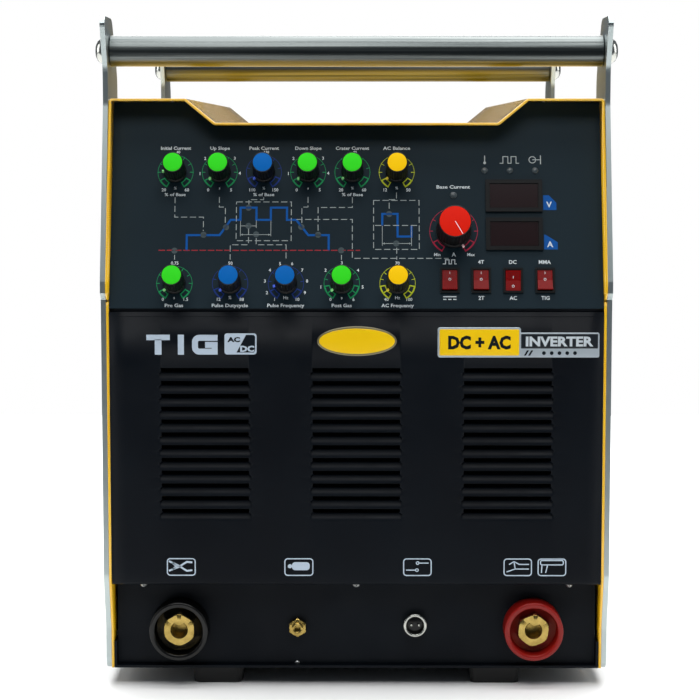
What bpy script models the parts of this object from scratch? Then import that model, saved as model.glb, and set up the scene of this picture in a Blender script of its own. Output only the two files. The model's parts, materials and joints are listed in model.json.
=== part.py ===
"""TIG welding machine: an inverter welder in a folded sheet case, with two steel frames for its grab bars.

Metres, +Z up. The front faces -Y and the feet stand on Z = 0. The machine's own axes start on the floor
below the louvred front sheet's face; the control panel has its own axes in the bend where it starts to lean.
"""

import math

import bmesh
import bpy
from mathutils import Matrix, Vector

# Case, from the outside. Depth runs from the louvred face to the cover's rear edge.
CASE_WIDTH = 0.400
CASE_DEPTH = 0.620
SHOULDER_HEIGHT = 0.478
TROUGH_DEPTH = 0.0195
TROUGH_WIDTH = 0.276
TROUGH_FLOOR_WIDTH = 0.228
COVER_SHEET = 0.002
PANEL_SHEET = 0.0015
BEND_RADIUS = 0.003
GAP = 0.0003

# Feet and base pan.
FOOT_WIDTH = 0.0425
FOOT_DEPTH = 0.046
FOOT_HEIGHT = 0.0147
FOOT_INSET_SIDE = 0.0862
FOOT_INSET_END = 0.045
PAN_SHEET = 0.002
PAN_FLANGE = 0.022
PAN_BOTTOM = FOOT_HEIGHT + GAP

# Front edge of the cover and the frames, seen from the side.
TOE_SETBACK = 0.0125
TOE_HEIGHT = 0.049
TOE_TOP = 0.092
CONTROL_HEIGHT = 0.169
BEND_HEIGHT = SHOULDER_HEIGHT - CONTROL_HEIGHT
BROW_FOOT = BEND_HEIGHT + 0.009
BROW_NOSE = BEND_HEIGHT + 0.023
BROW_PROUD = 0.005
BROW_TOP_SETBACK = 0.033

# Louvred front sheet and connector panel.
LIP_HEIGHT = 0.0865
CONNECTOR_SETBACK = 0.020
LOUVRE_WIDTH = 0.074
LOUVRE_SLOT = 0.0034
LOUVRE_PITCH = 0.01038
LOUVRE_COLUMN_STEP = 0.1215
LOUVRE_TOP_MARGIN = 0.0496
LOUVRE_BOTTOM_MARGIN = 0.055

# Leaning control panel: x to the right, s up the panel from the bend, h out of its face.
PANEL_LEAN = math.radians(17.5)
FASCIA_SHEET = 0.001
FASCIA_START = 0.002
KNOB_TOP_ROW = 0.115
KNOB_TOP_START = -0.1465
KNOB_TOP_PITCH = 0.0358
KNOB_BOTTOM_ROW = 0.0225
KNOB_BOTTOM_START = -0.1458
KNOB_BOTTOM_PITCH = 0.0447
KNOB_TOP_NAMES = [
    "initial_current",
    "up_slope",
    "peak_current",
    "down_slope",
    "crater_current",
    "ac_balance",
]
KNOB_BOTTOM_NAMES = ["pre_gas", "pulse_width", "pulse_frequency", "post_gas", "ac_frequency"]
BIG_KNOB_X = 0.0782
BIG_KNOB_S = 0.0658
KNOB_STANDOFF = 0.001
KNOB_RADIUS = 0.0090
KNOB_CAP_RADIUS = 0.0076
KNOB_EDGE = 0.0007
KNOB_HEIGHT = 0.029
BIG_KNOB_RADIUS = 0.0142
BIG_KNOB_CAP_RADIUS = 0.0130
BIG_KNOB_HEIGHT = 0.031
SHAFT_RADIUS = 0.003
SHAFT_CLEARANCE = 0.001
BOARD_SETBACK = 0.022
BOARD_SHEET = 0.0016
POT_RADIUS = 0.008
POT_HEIGHT = 0.0074
POT_GAP = 0.0005

METER_X = 0.1270
METER_S = {"meter_voltage": 0.0950, "meter_current": 0.0632}
METER_WIDTH = 0.0458
METER_HEIGHT = 0.0268
METER_FRAME = 0.0032
METER_PROUD = 0.0022
METER_RECESS = 0.0012
METER_DEPTH = 0.014

ROCKER_S = 0.0248
ROCKERS = {"pulse": 0.0748, "trigger": 0.0999, "current": 0.1255, "process": 0.1510}
ROCKER_PRESSED_BELOW = ["current"]
ROCKER_WIDTH = 0.0120
ROCKER_LENGTH = 0.0162
ROCKER_TILT = math.radians(10)
ROCKER_CREST = 0.0026
ROCKER_DIP = 0.0013
ROCKER_KEEL = 0.0060
BEZEL_WALL = 0.0016
BEZEL_PROUD = 0.0018
HOUSING_DEPTH = 0.013
FIT_CLEARANCE = 0.0003

# Weld sockets, gas outlet and torch socket on the connector panel.
SOCKET_INSET = 0.0560
SOCKET_HEIGHT = 0.0481
SOCKET_RADIUS = 0.0240
SOCKET_WALL = 0.0044
SOCKET_PROUD = 0.0215
SOCKET_CUP_DEPTH = 0.0160
SOCKET_NOSE_ACROSS = 0.0240
SOCKET_NOSE_PROUD = 0.0160
SOCKET_BORE_RADIUS = 0.0065
SOCKET_BORE_DEPTH = 0.0200
SOCKET_KEY_RADIUS = 0.0046
SOCKET_SHANK_RADIUS = 0.0090
SOCKET_TAIL = 0.030
SPIGOT_RADIUS = 0.0150
FITTING_X = 0.0480
GAS_OUTLET_HEIGHT = 0.0480
TORCH_SOCKET_HEIGHT = 0.0505
GAS_HEX_ACROSS = 0.0135
GAS_BORE_RADIUS = 0.0026
TORCH_RADIUS = 0.0096
TORCH_PIN_SPACING = 0.0062

# Side frames with their horns, and the grab bars between them.
FRAME_SHEET = 0.004
FRAME_BOTTOM = 0.0135
FRAME_REAR_SETBACK = 0.012
FRAME_MEMBER = 0.058
FRAME_CORNER = 0.010
WINDOW_CORNER = 0.024
BAR_DIAMETER = 0.025
BAR_HEIGHT = 0.5165
BAR_SPACING = 0.505
FRONT_BAR_SETBACK = 0.050
HORN_TIP = 0.543
HORN_FRONT = -0.019
HORN_REAR = 0.050
HORN_LEAN = 0.021
HORN_NECK = BAR_HEIGHT - 0.016
BOLT_RADIUS = 0.006
BOLT_HEAD_RADIUS = 0.0105
BOLT_HEAD_HEIGHT = 0.0072
BOLT_GRIP = 0.022
BOLT_CLEARANCE = 0.0003

# Rear panel, fan, breaker and inlets.
REAR_SETBACK = 0.012
FAN_SIZE = 0.152
FAN_BORE_RADIUS = 0.071
FAN_DEPTH = 0.038
FAN_HEIGHT = 0.250
FAN_SETBACK = 0.007
FAN_BLADES = 7
FAN_HUB_RADIUS = 0.028
FAN_SPINDLE_RADIUS = 0.004
GUARD_RINGS = [0.022, 0.038, 0.054, 0.070]
GUARD_WIRE = 0.003
GUARD_PROUD = 0.006
BREAKER_X = -0.118
BREAKER_HEIGHT = 0.372
BREAKER_WIDTH = 0.054
BREAKER_BODY = 0.078
BREAKER_NOSE = 0.045
BREAKER_NOSE_PROUD = 0.008
BREAKER_DEPTH = 0.050
LEVER_RADIUS = 0.0062
LEVER_WIDTH = 0.034
LEVER_REACH = 0.0135
LEVER_REST = math.radians(-36)
INLET_X = 0.118
GLAND_HEIGHT = 0.372
GLAND_BORE_RADIUS = 0.0075
GLAND_RADIUS = 0.0165
GAS_INLET_HEIGHT = 0.110
REAR_SLOT_WIDTH = 0.070
REAR_SLOT_STEP = 0.100
REAR_SLOT = 0.004
REAR_SLOT_PITCH = 0.012
REAR_SLOT_ROWS = 6

# Side vents in the cover, inside the frames' windows.
VENT_WIDTH = 0.120
VENT_STEP = 0.170
VENT_SLOT = 0.0036
VENT_PITCH = 0.016
VENT_MARGIN = 0.060

for leftover in list(bpy.data.objects):
    bpy.data.objects.remove(leftover)

machine_parts = bpy.data.collections.new("tig_welding_machine")
cutters = bpy.data.collections.new("cutters")
bpy.context.scene.collection.children.link(machine_parts)
bpy.context.scene.collection.children.link(cutters)


def finish(name, colour, roughness, metallic=0.0):
    """A material of one colour, given as linear red, green and blue."""
    made = bpy.data.materials.new(name)
    made.use_nodes = True
    shader = made.node_tree.nodes["Principled BSDF"]
    shader.inputs["Base Color"].default_value = (*colour, 1.0)
    shader.inputs["Roughness"].default_value = roughness
    shader.inputs["Metallic"].default_value = metallic
    return made


BLACK_PAINT = finish("black_powder_coat", (0.008, 0.011, 0.014), 0.5)
YELLOW_PAINT = finish("yellow_enamel", (0.87, 0.50, 0.02), 0.3)
FASCIA_FILM = finish("dark_fascia_film", (0.020, 0.034, 0.042), 0.45)
BRIGHT_STEEL = finish("brushed_steel", (0.55, 0.57, 0.56), 0.3, 1.0)
POLISHED_STEEL = finish("polished_tube", (0.62, 0.62, 0.60), 0.15, 1.0)
BRASS = finish("brass", (0.70, 0.52, 0.16), 0.3, 1.0)
BLACK_PLASTIC = finish("black_plastic", (0.010, 0.010, 0.011), 0.4)
RED_PLASTIC = finish("red_plastic", (0.42, 0.02, 0.015), 0.35)
GREEN_PLASTIC = finish("green_plastic", (0.03, 0.62, 0.03), 0.4)
BLUE_PLASTIC = finish("blue_plastic", (0.01, 0.15, 0.60), 0.4)
YELLOW_PLASTIC = finish("yellow_plastic", (0.85, 0.60, 0.02), 0.4)
RUBBER = finish("foot_rubber", (0.012, 0.012, 0.012), 0.7)
CIRCUIT_BOARD = finish("circuit_board", (0.02, 0.16, 0.06), 0.5)
COPPER = finish("copper_winding", (0.72, 0.28, 0.10), 0.35, 1.0)
ALUMINIUM = finish("aluminium", (0.70, 0.71, 0.72), 0.4, 1.0)


def empty(name, location, rotation=(0, 0, 0), parent=None):
    """A set of axes that pieces are placed in."""
    axes = bpy.data.objects.new(name, None)
    axes.location = location
    axes.rotation_euler = rotation
    axes.parent = parent
    machine_parts.objects.link(axes)
    return axes


def place(name, data, parent, location=(0, 0, 0), rotation=(0, 0, 0), material=None):
    """Makes data an object of the machine or, with no material, a cutter."""
    piece = bpy.data.objects.new(name, data)
    piece.parent = parent
    piece.location = location
    piece.rotation_euler = rotation
    if material is None:
        cutters.objects.link(piece)
        piece.hide_render = True
        piece.display_type = "WIRE"
    else:
        machine_parts.objects.link(piece)
        data.materials.append(material)
    return piece


def mesh_from(name, built):
    """The mesh of a bmesh whose faces are turned outward."""
    bmesh.ops.recalc_face_normals(built, faces=built.faces)
    mesh = bpy.data.meshes.new(name)
    built.to_mesh(mesh)
    built.free()
    return mesh


def add_box(built, low, high):
    """Adds a box between two corners."""
    low, high = Vector(low), Vector(high)
    scale = Matrix.Diagonal((*(high - low), 1))
    bmesh.ops.create_cube(built, size=1, matrix=Matrix.Translation((low + high) / 2) @ scale)


def add_cylinder(built, radius, start, end, segments, end_radius=None):
    """Adds a closed cylinder, or a cone, from start to end."""
    start, end = Vector(start), Vector(end)
    along = end - start
    turn = Vector((0, 0, 1)).rotation_difference(along).to_matrix().to_4x4()
    bmesh.ops.create_cone(
        built,
        cap_ends=True,
        segments=segments,
        radius1=radius,
        radius2=radius if end_radius is None else end_radius,
        depth=along.length,
        matrix=Matrix.Translation((start + end) / 2) @ turn,
    )


def boxes(name, corners, parent, location=(0, 0, 0), rotation=(0, 0, 0), material=None):
    """One object of separate boxes, each given by its low and high corners."""
    built = bmesh.new()
    for low, high in corners:
        add_box(built, low, high)
    return place(name, mesh_from(name, built), parent, location, rotation, material)


def boolean(piece, tool, operation="DIFFERENCE"):
    modifier = piece.modifiers.new(tool.name, "BOOLEAN")
    modifier.operation = operation
    modifier.object = tool
    modifier.solver = "EXACT"


def filleted(points, radii, steps=3):
    """A closed outline whose corners are arcs; radii holds one radius, or one for each corner."""
    outline = []
    count = len(points)
    for index in range(count):
        corner = Vector(points[index])
        radius = radii[index] if isinstance(radii, (list, tuple)) else radii
        before = Vector(points[index - 1]) - corner
        after = Vector(points[(index + 1) % count]) - corner
        if radius <= 0:
            outline.append(tuple(corner))
            continue
        half = before.angle(after) / 2
        reach = min(radius / math.tan(half), 0.45 * before.length, 0.45 * after.length)
        radius = reach * math.tan(half)
        inward = (before.normalized() + after.normalized()).normalized()
        centre = corner + inward * (radius / math.sin(half))
        first = corner + before.normalized() * reach - centre
        last = corner + after.normalized() * reach - centre
        for step in range(steps + 1):
            share = step / steps
            spoke = first.lerp(last, share)
            outline.append(tuple(centre + spoke.normalized() * radius))
    return outline


def rectangle(width, height, x=0, y=0):
    return [
        (x - width / 2, y - height / 2),
        (x + width / 2, y - height / 2),
        (x + width / 2, y + height / 2),
        (x - width / 2, y + height / 2),
    ]


def circle(radius, segments, x=0, y=0, start=0.0):
    turns = [start + 2 * math.pi * index / segments for index in range(segments)]
    return [(x + radius * math.cos(turn), y + radius * math.sin(turn)) for turn in turns]


def plate(name, outlines, thickness, parent, location=(0, 0, 0), rotation=(0, 0, 0), material=None):
    """A flat plate of an outer outline and its holes, half its thickness to each side, as a welded mesh."""
    curve = bpy.data.curves.new(name, "CURVE")
    curve.dimensions = "2D"
    curve.fill_mode = "BOTH"
    curve.extrude = thickness / 2
    for outline in outlines:
        spline = curve.splines.new("POLY")
        spline.points.add(len(outline) - 1)
        for point, (x, y) in zip(spline.points, outline):
            point.co = (x, y, 0, 1)
        spline.use_cyclic_u = True
    drawn = bpy.data.objects.new(name + "_outline", curve)
    cutters.objects.link(drawn)
    bpy.context.view_layer.update()
    graph = bpy.context.evaluated_depsgraph_get()
    mesh = bpy.data.meshes.new_from_object(drawn.evaluated_get(graph))
    bpy.data.objects.remove(drawn)
    built = bmesh.new()
    built.from_mesh(mesh)
    bpy.data.meshes.remove(mesh)
    bmesh.ops.remove_doubles(built, verts=built.verts, dist=1e-6)
    return place(name, mesh_from(name, built), parent, location, rotation, material)


def bent_sheet(name, path, sweep, thickness, parent, material):
    """A folded sheet: a path carried along sweep, thickened away from where path x sweep points."""
    built = bmesh.new()
    near = [built.verts.new(point) for point in path]
    far = [built.verts.new(Vector(point) + Vector(sweep)) for point in path]
    for index in range(len(path) - 1):
        built.faces.new((near[index], near[index + 1], far[index + 1], far[index]))
    mesh = bpy.data.meshes.new(name)
    built.to_mesh(mesh)
    built.free()
    piece = place(name, mesh, parent, material=material)
    wall = piece.modifiers.new("wall", "SOLIDIFY")
    wall.thickness = thickness
    wall.offset = -1
    wall.use_even_offset = True
    return piece


def turned(name, profile, segments, parent, location=(0, 0, 0), rotation=(0, 0, 0), material=None):
    """A turned piece: (radius, height) points, down the outer side and back up the inner, about local Z."""
    built = bmesh.new()
    points = [built.verts.new((radius, 0, height)) for radius, height in profile]
    for first, second in zip(points, points[1:]):
        built.edges.new((first, second))
    if profile[0][0] > 0 and profile[-1][0] > 0:
        built.edges.new((points[-1], points[0]))
    mesh = bpy.data.meshes.new(name)
    built.to_mesh(mesh)
    built.free()
    piece = place(name, mesh, parent, location, rotation, material)
    spin = piece.modifiers.new("spin", "SCREW")
    spin.axis = "Z"
    spin.angle = 2 * math.pi
    spin.steps = segments
    spin.render_steps = segments
    spin.use_merge_vertices = True
    spin.merge_threshold = 1e-5
    spin.use_smooth_shade = True
    return piece


# The origin is below the middle of the whole machine, from the lowest knobs' caps to the cable gland.
GLAND_PROUD = 0.034
cap_foot = KNOB_BOTTOM_ROW - KNOB_CAP_RADIUS + KNOB_EDGE
knob_front = cap_foot * math.sin(PANEL_LEAN) - KNOB_HEIGHT * math.cos(PANEL_LEAN)
machine_rear = CASE_DEPTH - REAR_SETBACK + GAP + GLAND_PROUD
machine = empty("machine_axes", (0, -(knob_front + machine_rear) / 2, 0))
panel = empty("control_panel_axes", (0, 0, BEND_HEIGHT), (math.pi / 2 - PANEL_LEAN, 0, 0), machine)
SIDEWAYS = (math.pi / 2, 0, math.pi / 2)
UPRIGHT = (math.pi / 2, 0, 0)
REARWARD = (math.pi / 2, 0, math.pi)

# ---- Case ----

HALF_WIDTH = CASE_WIDTH / 2
INNER_HALF = HALF_WIDTH - COVER_SHEET - GAP
REAR_FACE = CASE_DEPTH - REAR_SETBACK
FRAME_EDGE_SETBACK = 0.001
BEYOND = 0.05


def section(offset, base):
    """The case's cross-section as (x, z), this far inside the cover's face, from its foot on the left."""
    drop = math.atan2(TROUGH_DEPTH, (TROUGH_WIDTH - TROUGH_FLOOR_WIDTH) / 2)
    mitre = offset * math.tan(drop / 2)
    half = HALF_WIDTH - offset
    shoulder = SHOULDER_HEIGHT - offset
    rim = TROUGH_WIDTH / 2 + mitre
    floor = TROUGH_FLOOR_WIDTH / 2 + mitre
    left = [(-half, base), (-half, shoulder), (-rim, shoulder), (-floor, shoulder - TROUGH_DEPTH)]
    convex, hollow = BEND_RADIUS - offset, BEND_RADIUS + offset
    radii = [0, convex, convex, hollow, hollow, convex, convex, 0]
    return filleted(left + [(-x, z) for x, z in reversed(left)], radii)


def front_edge(setback):
    """The side profile of the front as (y, z), from the toe up to the shoulder."""
    nose = (-BROW_PROUD + setback, BROW_NOSE)
    brow = (BROW_TOP_SETBACK + setback, SHOULDER_HEIGHT)
    return [
        (TOE_SETBACK + setback, TOE_HEIGHT),
        (setback, TOE_TOP),
        (setback, BROW_FOOT),
        (-BROW_PROUD + setback, BROW_FOOT + BROW_PROUD),
        nose,
        brow,
    ]


cover_start = -BROW_PROUD - GAP
cover = bent_sheet(
    "cover",
    [(x, cover_start, z) for x, z in section(0, PAN_BOTTOM)],
    (0, CASE_DEPTH - cover_start, 0),
    COVER_SHEET,
    machine,
    YELLOW_PAINT,
)
edge = front_edge(0)
brow_slope = (edge[-1][0] - edge[-2][0]) / (edge[-1][1] - edge[-2][1])
SEAM_WIDTH = 0.0022
SEAM_DEPTH = 0.0035
seam = [(0.0, BROW_FOOT - SEAM_WIDTH), (SEAM_DEPTH, BROW_FOOT - SEAM_WIDTH), (SEAM_DEPTH, BROW_FOOT)]
face_outline = (
    [(-BEYOND, 0), (TOE_SETBACK, 0)]
    + edge[:2]
    + seam
    + edge[2:-1]
    + [
        (edge[-1][0] + brow_slope * BEYOND, SHOULDER_HEIGHT + BEYOND),
        (-BEYOND, SHOULDER_HEIGHT + BEYOND),
    ]
)
boolean(cover, plate("cover_face_cutter", [face_outline], 2 * CASE_WIDTH, machine, rotation=SIDEWAYS))

window_front = FRAME_EDGE_SETBACK + FRAME_MEMBER
window_rear = CASE_DEPTH - FRAME_REAR_SETBACK - FRAME_MEMBER
window_bottom = FRAME_BOTTOM + FRAME_MEMBER
window_top = SHOULDER_HEIGHT - FRAME_MEMBER
window_middle = (window_front + window_rear) / 2
vent_rows = 1 + int((window_top - window_bottom - 2 * VENT_MARGIN) / VENT_PITCH)
vent_bottom = (window_top + window_bottom - (vent_rows - 1) * VENT_PITCH) / 2
vents = []
for side in (-1, 1):
    middle = window_middle + side * VENT_STEP / 2
    for row in range(vent_rows):
        sill = vent_bottom + row * VENT_PITCH
        low = (-CASE_WIDTH, middle - VENT_WIDTH / 2, sill)
        vents.append((low, (CASE_WIDTH, middle + VENT_WIDTH / 2, sill + VENT_SLOT)))
boolean(cover, boxes("cover_vent_cutter", vents, machine))

pan_path = [
    (-INNER_HALF, PAN_BOTTOM + PAN_FLANGE),
    (-INNER_HALF, PAN_BOTTOM),
    (INNER_HALF, PAN_BOTTOM),
    (INNER_HALF, PAN_BOTTOM + PAN_FLANGE),
]
pan_rear = REAR_FACE - PANEL_SHEET - GAP
bent_sheet(
    "base_pan",
    [(x, pan_rear, z) for x, z in pan_path],
    (0, TOE_SETBACK - pan_rear, 0),
    PAN_SHEET,
    machine,
    BLACK_PAINT,
)
PAN_TOP = PAN_BOTTOM + PAN_SHEET

foot_places = {
    "foot_front_left": (-1, FOOT_INSET_END),
    "foot_front_right": (1, FOOT_INSET_END),
    "foot_rear_left": (-1, CASE_DEPTH - FOOT_INSET_END),
    "foot_rear_right": (1, CASE_DEPTH - FOOT_INSET_END),
}
FOOT_TAPER = 0.94
FOOT_CORNER = 0.006
foot_block = bmesh.new()
add_box(foot_block, (-FOOT_WIDTH / 2, -FOOT_DEPTH / 2, 0), (FOOT_WIDTH / 2, FOOT_DEPTH / 2, FOOT_HEIGHT))
for vert in foot_block.verts:
    if vert.co.z < FOOT_HEIGHT / 2:
        vert.co.x *= FOOT_TAPER
        vert.co.y *= FOOT_TAPER
upright = [e for e in foot_block.edges if abs(e.verts[0].co.z - e.verts[1].co.z) > FOOT_HEIGHT / 2]
bmesh.ops.bevel(foot_block, geom=upright, offset=FOOT_CORNER, segments=3, profile=0.5, affect="EDGES")
foot_mesh = mesh_from("foot", foot_block)
foot_mesh.materials.append(RUBBER)
for name, (side, depth) in foot_places.items():
    foot = bpy.data.objects.new(name, foot_mesh)
    foot.location = (side * (HALF_WIDTH - FOOT_INSET_SIDE), depth, 0)
    foot.parent = machine
    machine_parts.objects.link(foot)

# ---- Front sheet and its control panel ----

sheet_face = -(FASCIA_SHEET + GAP)
sheet_bend = BEND_HEIGHT + sheet_face / math.sin(PANEL_LEAN)
sheet_rise = SHOULDER_HEIGHT + BEYOND - sheet_bend
front_path = [
    (CONNECTOR_SETBACK - GAP, LIP_HEIGHT),
    (0, LIP_HEIGHT),
    (0, sheet_bend),
    (sheet_rise * math.tan(PANEL_LEAN), sheet_bend + sheet_rise),
]
front_panel = bent_sheet(
    "front_panel",
    [(CASE_WIDTH, y, z) for y, z in front_path],
    (-2 * CASE_WIDTH, 0, 0),
    PANEL_SHEET,
    machine,
    BLACK_PAINT,
)
surround = [rectangle(4 * CASE_WIDTH, 4 * SHOULDER_HEIGHT), section(COVER_SHEET + GAP, PAN_BOTTOM)]
boolean(front_panel, plate("surround_cutter", surround, 2 * CASE_DEPTH, machine, rotation=UPRIGHT))
louvre_rows = 1 + int(
    (BEND_HEIGHT - LIP_HEIGHT - LOUVRE_TOP_MARGIN - LOUVRE_BOTTOM_MARGIN) / LOUVRE_PITCH + 0.001
)
slots = []
for column in (-1, 0, 1):
    middle = column * LOUVRE_COLUMN_STEP
    for row in range(louvre_rows):
        sill = BEND_HEIGHT - LOUVRE_TOP_MARGIN - row * LOUVRE_PITCH
        low = (middle - LOUVRE_WIDTH / 2, -BEYOND, sill)
        slots.append((low, (middle + LOUVRE_WIDTH / 2, BEYOND, sill + LOUVRE_SLOT)))
boolean(front_panel, boxes("louvre_cutter", slots, machine))

knob_places = {}
for place_number, name in enumerate(KNOB_TOP_NAMES):
    knob_places["knob_" + name] = (KNOB_TOP_START + place_number * KNOB_TOP_PITCH, KNOB_TOP_ROW)
for place_number, name in enumerate(KNOB_BOTTOM_NAMES):
    knob_places["knob_" + name] = (KNOB_BOTTOM_START + place_number * KNOB_BOTTOM_PITCH, KNOB_BOTTOM_ROW)
shaft_places = list(knob_places.values()) + [(BIG_KNOB_X, BIG_KNOB_S)]
rocker_reach = math.hypot(ROCKER_LENGTH / 2, ROCKER_CREST)
rocker_swing = math.atan2(ROCKER_CREST, ROCKER_LENGTH / 2) - ROCKER_TILT
pocket_length = 2 * (rocker_reach * math.cos(rocker_swing) + FIT_CLEARANCE)
pocket_width = ROCKER_WIDTH + 2 * FIT_CLEARANCE
HOUSING_WALL = 0.0007
housing_width = pocket_width + 2 * HOUSING_WALL
housing_length = pocket_length + 2 * HOUSING_WALL
METER_BODY_INSET = 0.003

rocker_opening = (housing_width + 2 * FIT_CLEARANCE, housing_length + 2 * FIT_CLEARANCE)
meter_margin = 2 * (FIT_CLEARANCE - METER_BODY_INSET)
meter_opening = (METER_WIDTH + meter_margin, METER_HEIGHT + meter_margin)
openings = [(x, ROCKER_S, *rocker_opening) for x in ROCKERS.values()]
openings += [(METER_X, s, *meter_opening) for s in METER_S.values()]
CUT_HALF = 0.01
cutouts = bmesh.new()
for x, s in shaft_places:
    add_cylinder(cutouts, SHAFT_RADIUS + SHAFT_CLEARANCE, (x, s, -CUT_HALF), (x, s, CUT_HALF), 16)
for x, s, width, length in openings:
    add_box(cutouts, (x - width / 2, s - length / 2, -CUT_HALF), (x + width / 2, s + length / 2, CUT_HALF))
boolean(front_panel, place("panel_cutouts", mesh_from("panel_cutouts", cutouts), panel))

ROOF_CLEARANCE = 0.0005
fascia_base = BEND_HEIGHT + ROOF_CLEARANCE + FASCIA_START * math.cos(PANEL_LEAN)
fascia_outline = [
    (x, (z - ROOF_CLEARANCE - BEND_HEIGHT) / math.cos(PANEL_LEAN))
    for x, z in section(COVER_SHEET + GAP, fascia_base)
]
fascia_holes = [circle(SHAFT_RADIUS + SHAFT_CLEARANCE, 16, x, s) for x, s in shaft_places] + [
    rectangle(width, length, x, s) for x, s, width, length in openings
]
plate(
    "control_fascia",
    [fascia_outline, *fascia_holes],
    FASCIA_SHEET,
    panel,
    location=(0, 0, -FASCIA_SHEET / 2),
    material=FASCIA_FILM,
)

# ---- Knobs and the board they turn ----

pot_face = -BOARD_SETBACK + POT_HEIGHT
shaft_end = pot_face + POT_GAP


SKIRT_HEIGHT = 0.0050
SKIRT_EDGE = 0.0008


def knob_profile(height, cap_radius, skirt_radius):
    """From the cap's centre over its rim, down the tapered grip to the skirt, and down the shaft."""
    return [
        (0, height),
        (cap_radius - KNOB_EDGE, height),
        (cap_radius, height - KNOB_EDGE),
        (skirt_radius - SKIRT_EDGE, SKIRT_HEIGHT),
        (skirt_radius, SKIRT_HEIGHT - SKIRT_EDGE),
        (skirt_radius, KNOB_STANDOFF),
        (SHAFT_RADIUS, KNOB_STANDOFF),
        (SHAFT_RADIUS, shaft_end),
        (0, shaft_end),
    ]


small_knob = knob_profile(KNOB_HEIGHT, KNOB_CAP_RADIUS, KNOB_RADIUS)
knob_colours = {
    "knob_peak_current": BLUE_PLASTIC,
    "knob_pulse_width": BLUE_PLASTIC,
    "knob_pulse_frequency": BLUE_PLASTIC,
    "knob_ac_balance": YELLOW_PLASTIC,
    "knob_ac_frequency": YELLOW_PLASTIC,
}
for name, (x, s) in knob_places.items():
    turned(name, small_knob, 16, panel, (x, s, 0), material=knob_colours.get(name, GREEN_PLASTIC))
big_knob = knob_profile(BIG_KNOB_HEIGHT, BIG_KNOB_CAP_RADIUS, BIG_KNOB_RADIUS)
turned("knob_base_current", big_knob, 24, panel, (BIG_KNOB_X, BIG_KNOB_S, 0), material=RED_PLASTIC)

JOIN = 0.0005
BOARD_MARGIN = 0.012
board_low = (KNOB_TOP_START - BOARD_MARGIN, KNOB_BOTTOM_ROW - BOARD_MARGIN, -BOARD_SETBACK - BOARD_SHEET)
board_high = (ROCKERS["process"] + BOARD_MARGIN, KNOB_TOP_ROW + BOARD_MARGIN, -BOARD_SETBACK)
control_board = boxes("control_board", [(board_low, board_high)], panel, material=CIRCUIT_BOARD)
pots = bmesh.new()
for x, s in shaft_places:
    add_cylinder(pots, POT_RADIUS, (x, s, -BOARD_SETBACK - JOIN), (x, s, pot_face), 12)
boolean(control_board, place("pot_bodies", mesh_from("pot_bodies", pots), panel), "UNION")

# ---- Meters and rockers ----

for name, s in METER_S.items():
    half = Vector((METER_WIDTH / 2, METER_HEIGHT / 2, 0))
    inset = Vector((METER_BODY_INSET, METER_BODY_INSET, 0))
    frame_inset = Vector((METER_FRAME, METER_FRAME, 0))
    meter = boxes(
        name,
        [((-half.x, -half.y, GAP), (half.x, half.y, METER_PROUD))],
        panel,
        (METER_X, s, 0),
        material=BLACK_PLASTIC,
    )
    core = half - inset
    core_box = [((-core.x, -core.y, -METER_DEPTH), (core.x, core.y, METER_PROUD / 2))]
    boolean(meter, boxes(name + "_core", core_box, panel, (METER_X, s, 0)), "UNION")
    glass = half - frame_inset
    recess = [((-glass.x, -glass.y, METER_PROUD - METER_RECESS), (glass.x, glass.y, 2 * METER_PROUD))]
    boolean(meter, boxes(name + "_recess", recess, panel, (METER_X, s, 0)))


def tilted(points, angle):
    """Turns (s, h) points about the rocker's axis; a positive angle lifts the upper end."""
    cosine, sine = math.cos(angle), math.sin(angle)
    return [(s * cosine - h * sine, s * sine + h * cosine) for s, h in points]


ROCKER_HEEL = 0.0006
ROCKER_HEEL_DROP = 0.0015
ROCKER_KEEL_HALF = 0.0042
POCKET_SPARE = 0.0022
rocker_half = ROCKER_LENGTH / 2
rocker_outline = [
    (-rocker_half, ROCKER_CREST),
    (-rocker_half + ROCKER_HEEL, -ROCKER_HEEL_DROP),
    (-ROCKER_KEEL_HALF, -ROCKER_KEEL),
    (ROCKER_KEEL_HALF, -ROCKER_KEEL),
    (rocker_half - ROCKER_HEEL, -ROCKER_HEEL_DROP),
    (rocker_half, ROCKER_CREST),
    (0, ROCKER_DIP),
]
pocket_floor = -ROCKER_KEEL - POCKET_SPARE
for word, x in ROCKERS.items():
    rest = ROCKER_TILT if word in ROCKER_PRESSED_BELOW else -ROCKER_TILT
    plate(
        "rocker_" + word,
        [tilted(rocker_outline, rest)],
        ROCKER_WIDTH,
        panel,
        (x, ROCKER_S, 0),
        SIDEWAYS,
        RED_PLASTIC,
    )
    half = Vector((pocket_width / 2 + BEZEL_WALL, pocket_length / 2 + BEZEL_WALL))
    housing = boxes(
        "rocker_housing_" + word,
        [((-half.x, -half.y, GAP), (half.x, half.y, BEZEL_PROUD))],
        panel,
        (x, ROCKER_S, 0),
        material=BLACK_PLASTIC,
    )
    side, end = housing_width / 2, housing_length / 2
    body = [((-side, -end, -HOUSING_DEPTH), (side, end, BEZEL_PROUD / 2))]
    boolean(housing, boxes("housing_body_" + word, body, panel, (x, ROCKER_S, 0)), "UNION")
    side, end = pocket_width / 2, pocket_length / 2
    pocket = [((-side, -end, pocket_floor), (side, end, 2 * BEZEL_PROUD))]
    boolean(housing, boxes("housing_pocket_" + word, pocket, panel, (x, ROCKER_S, 0)))

# ---- Connector panel and what is on it ----

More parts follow.
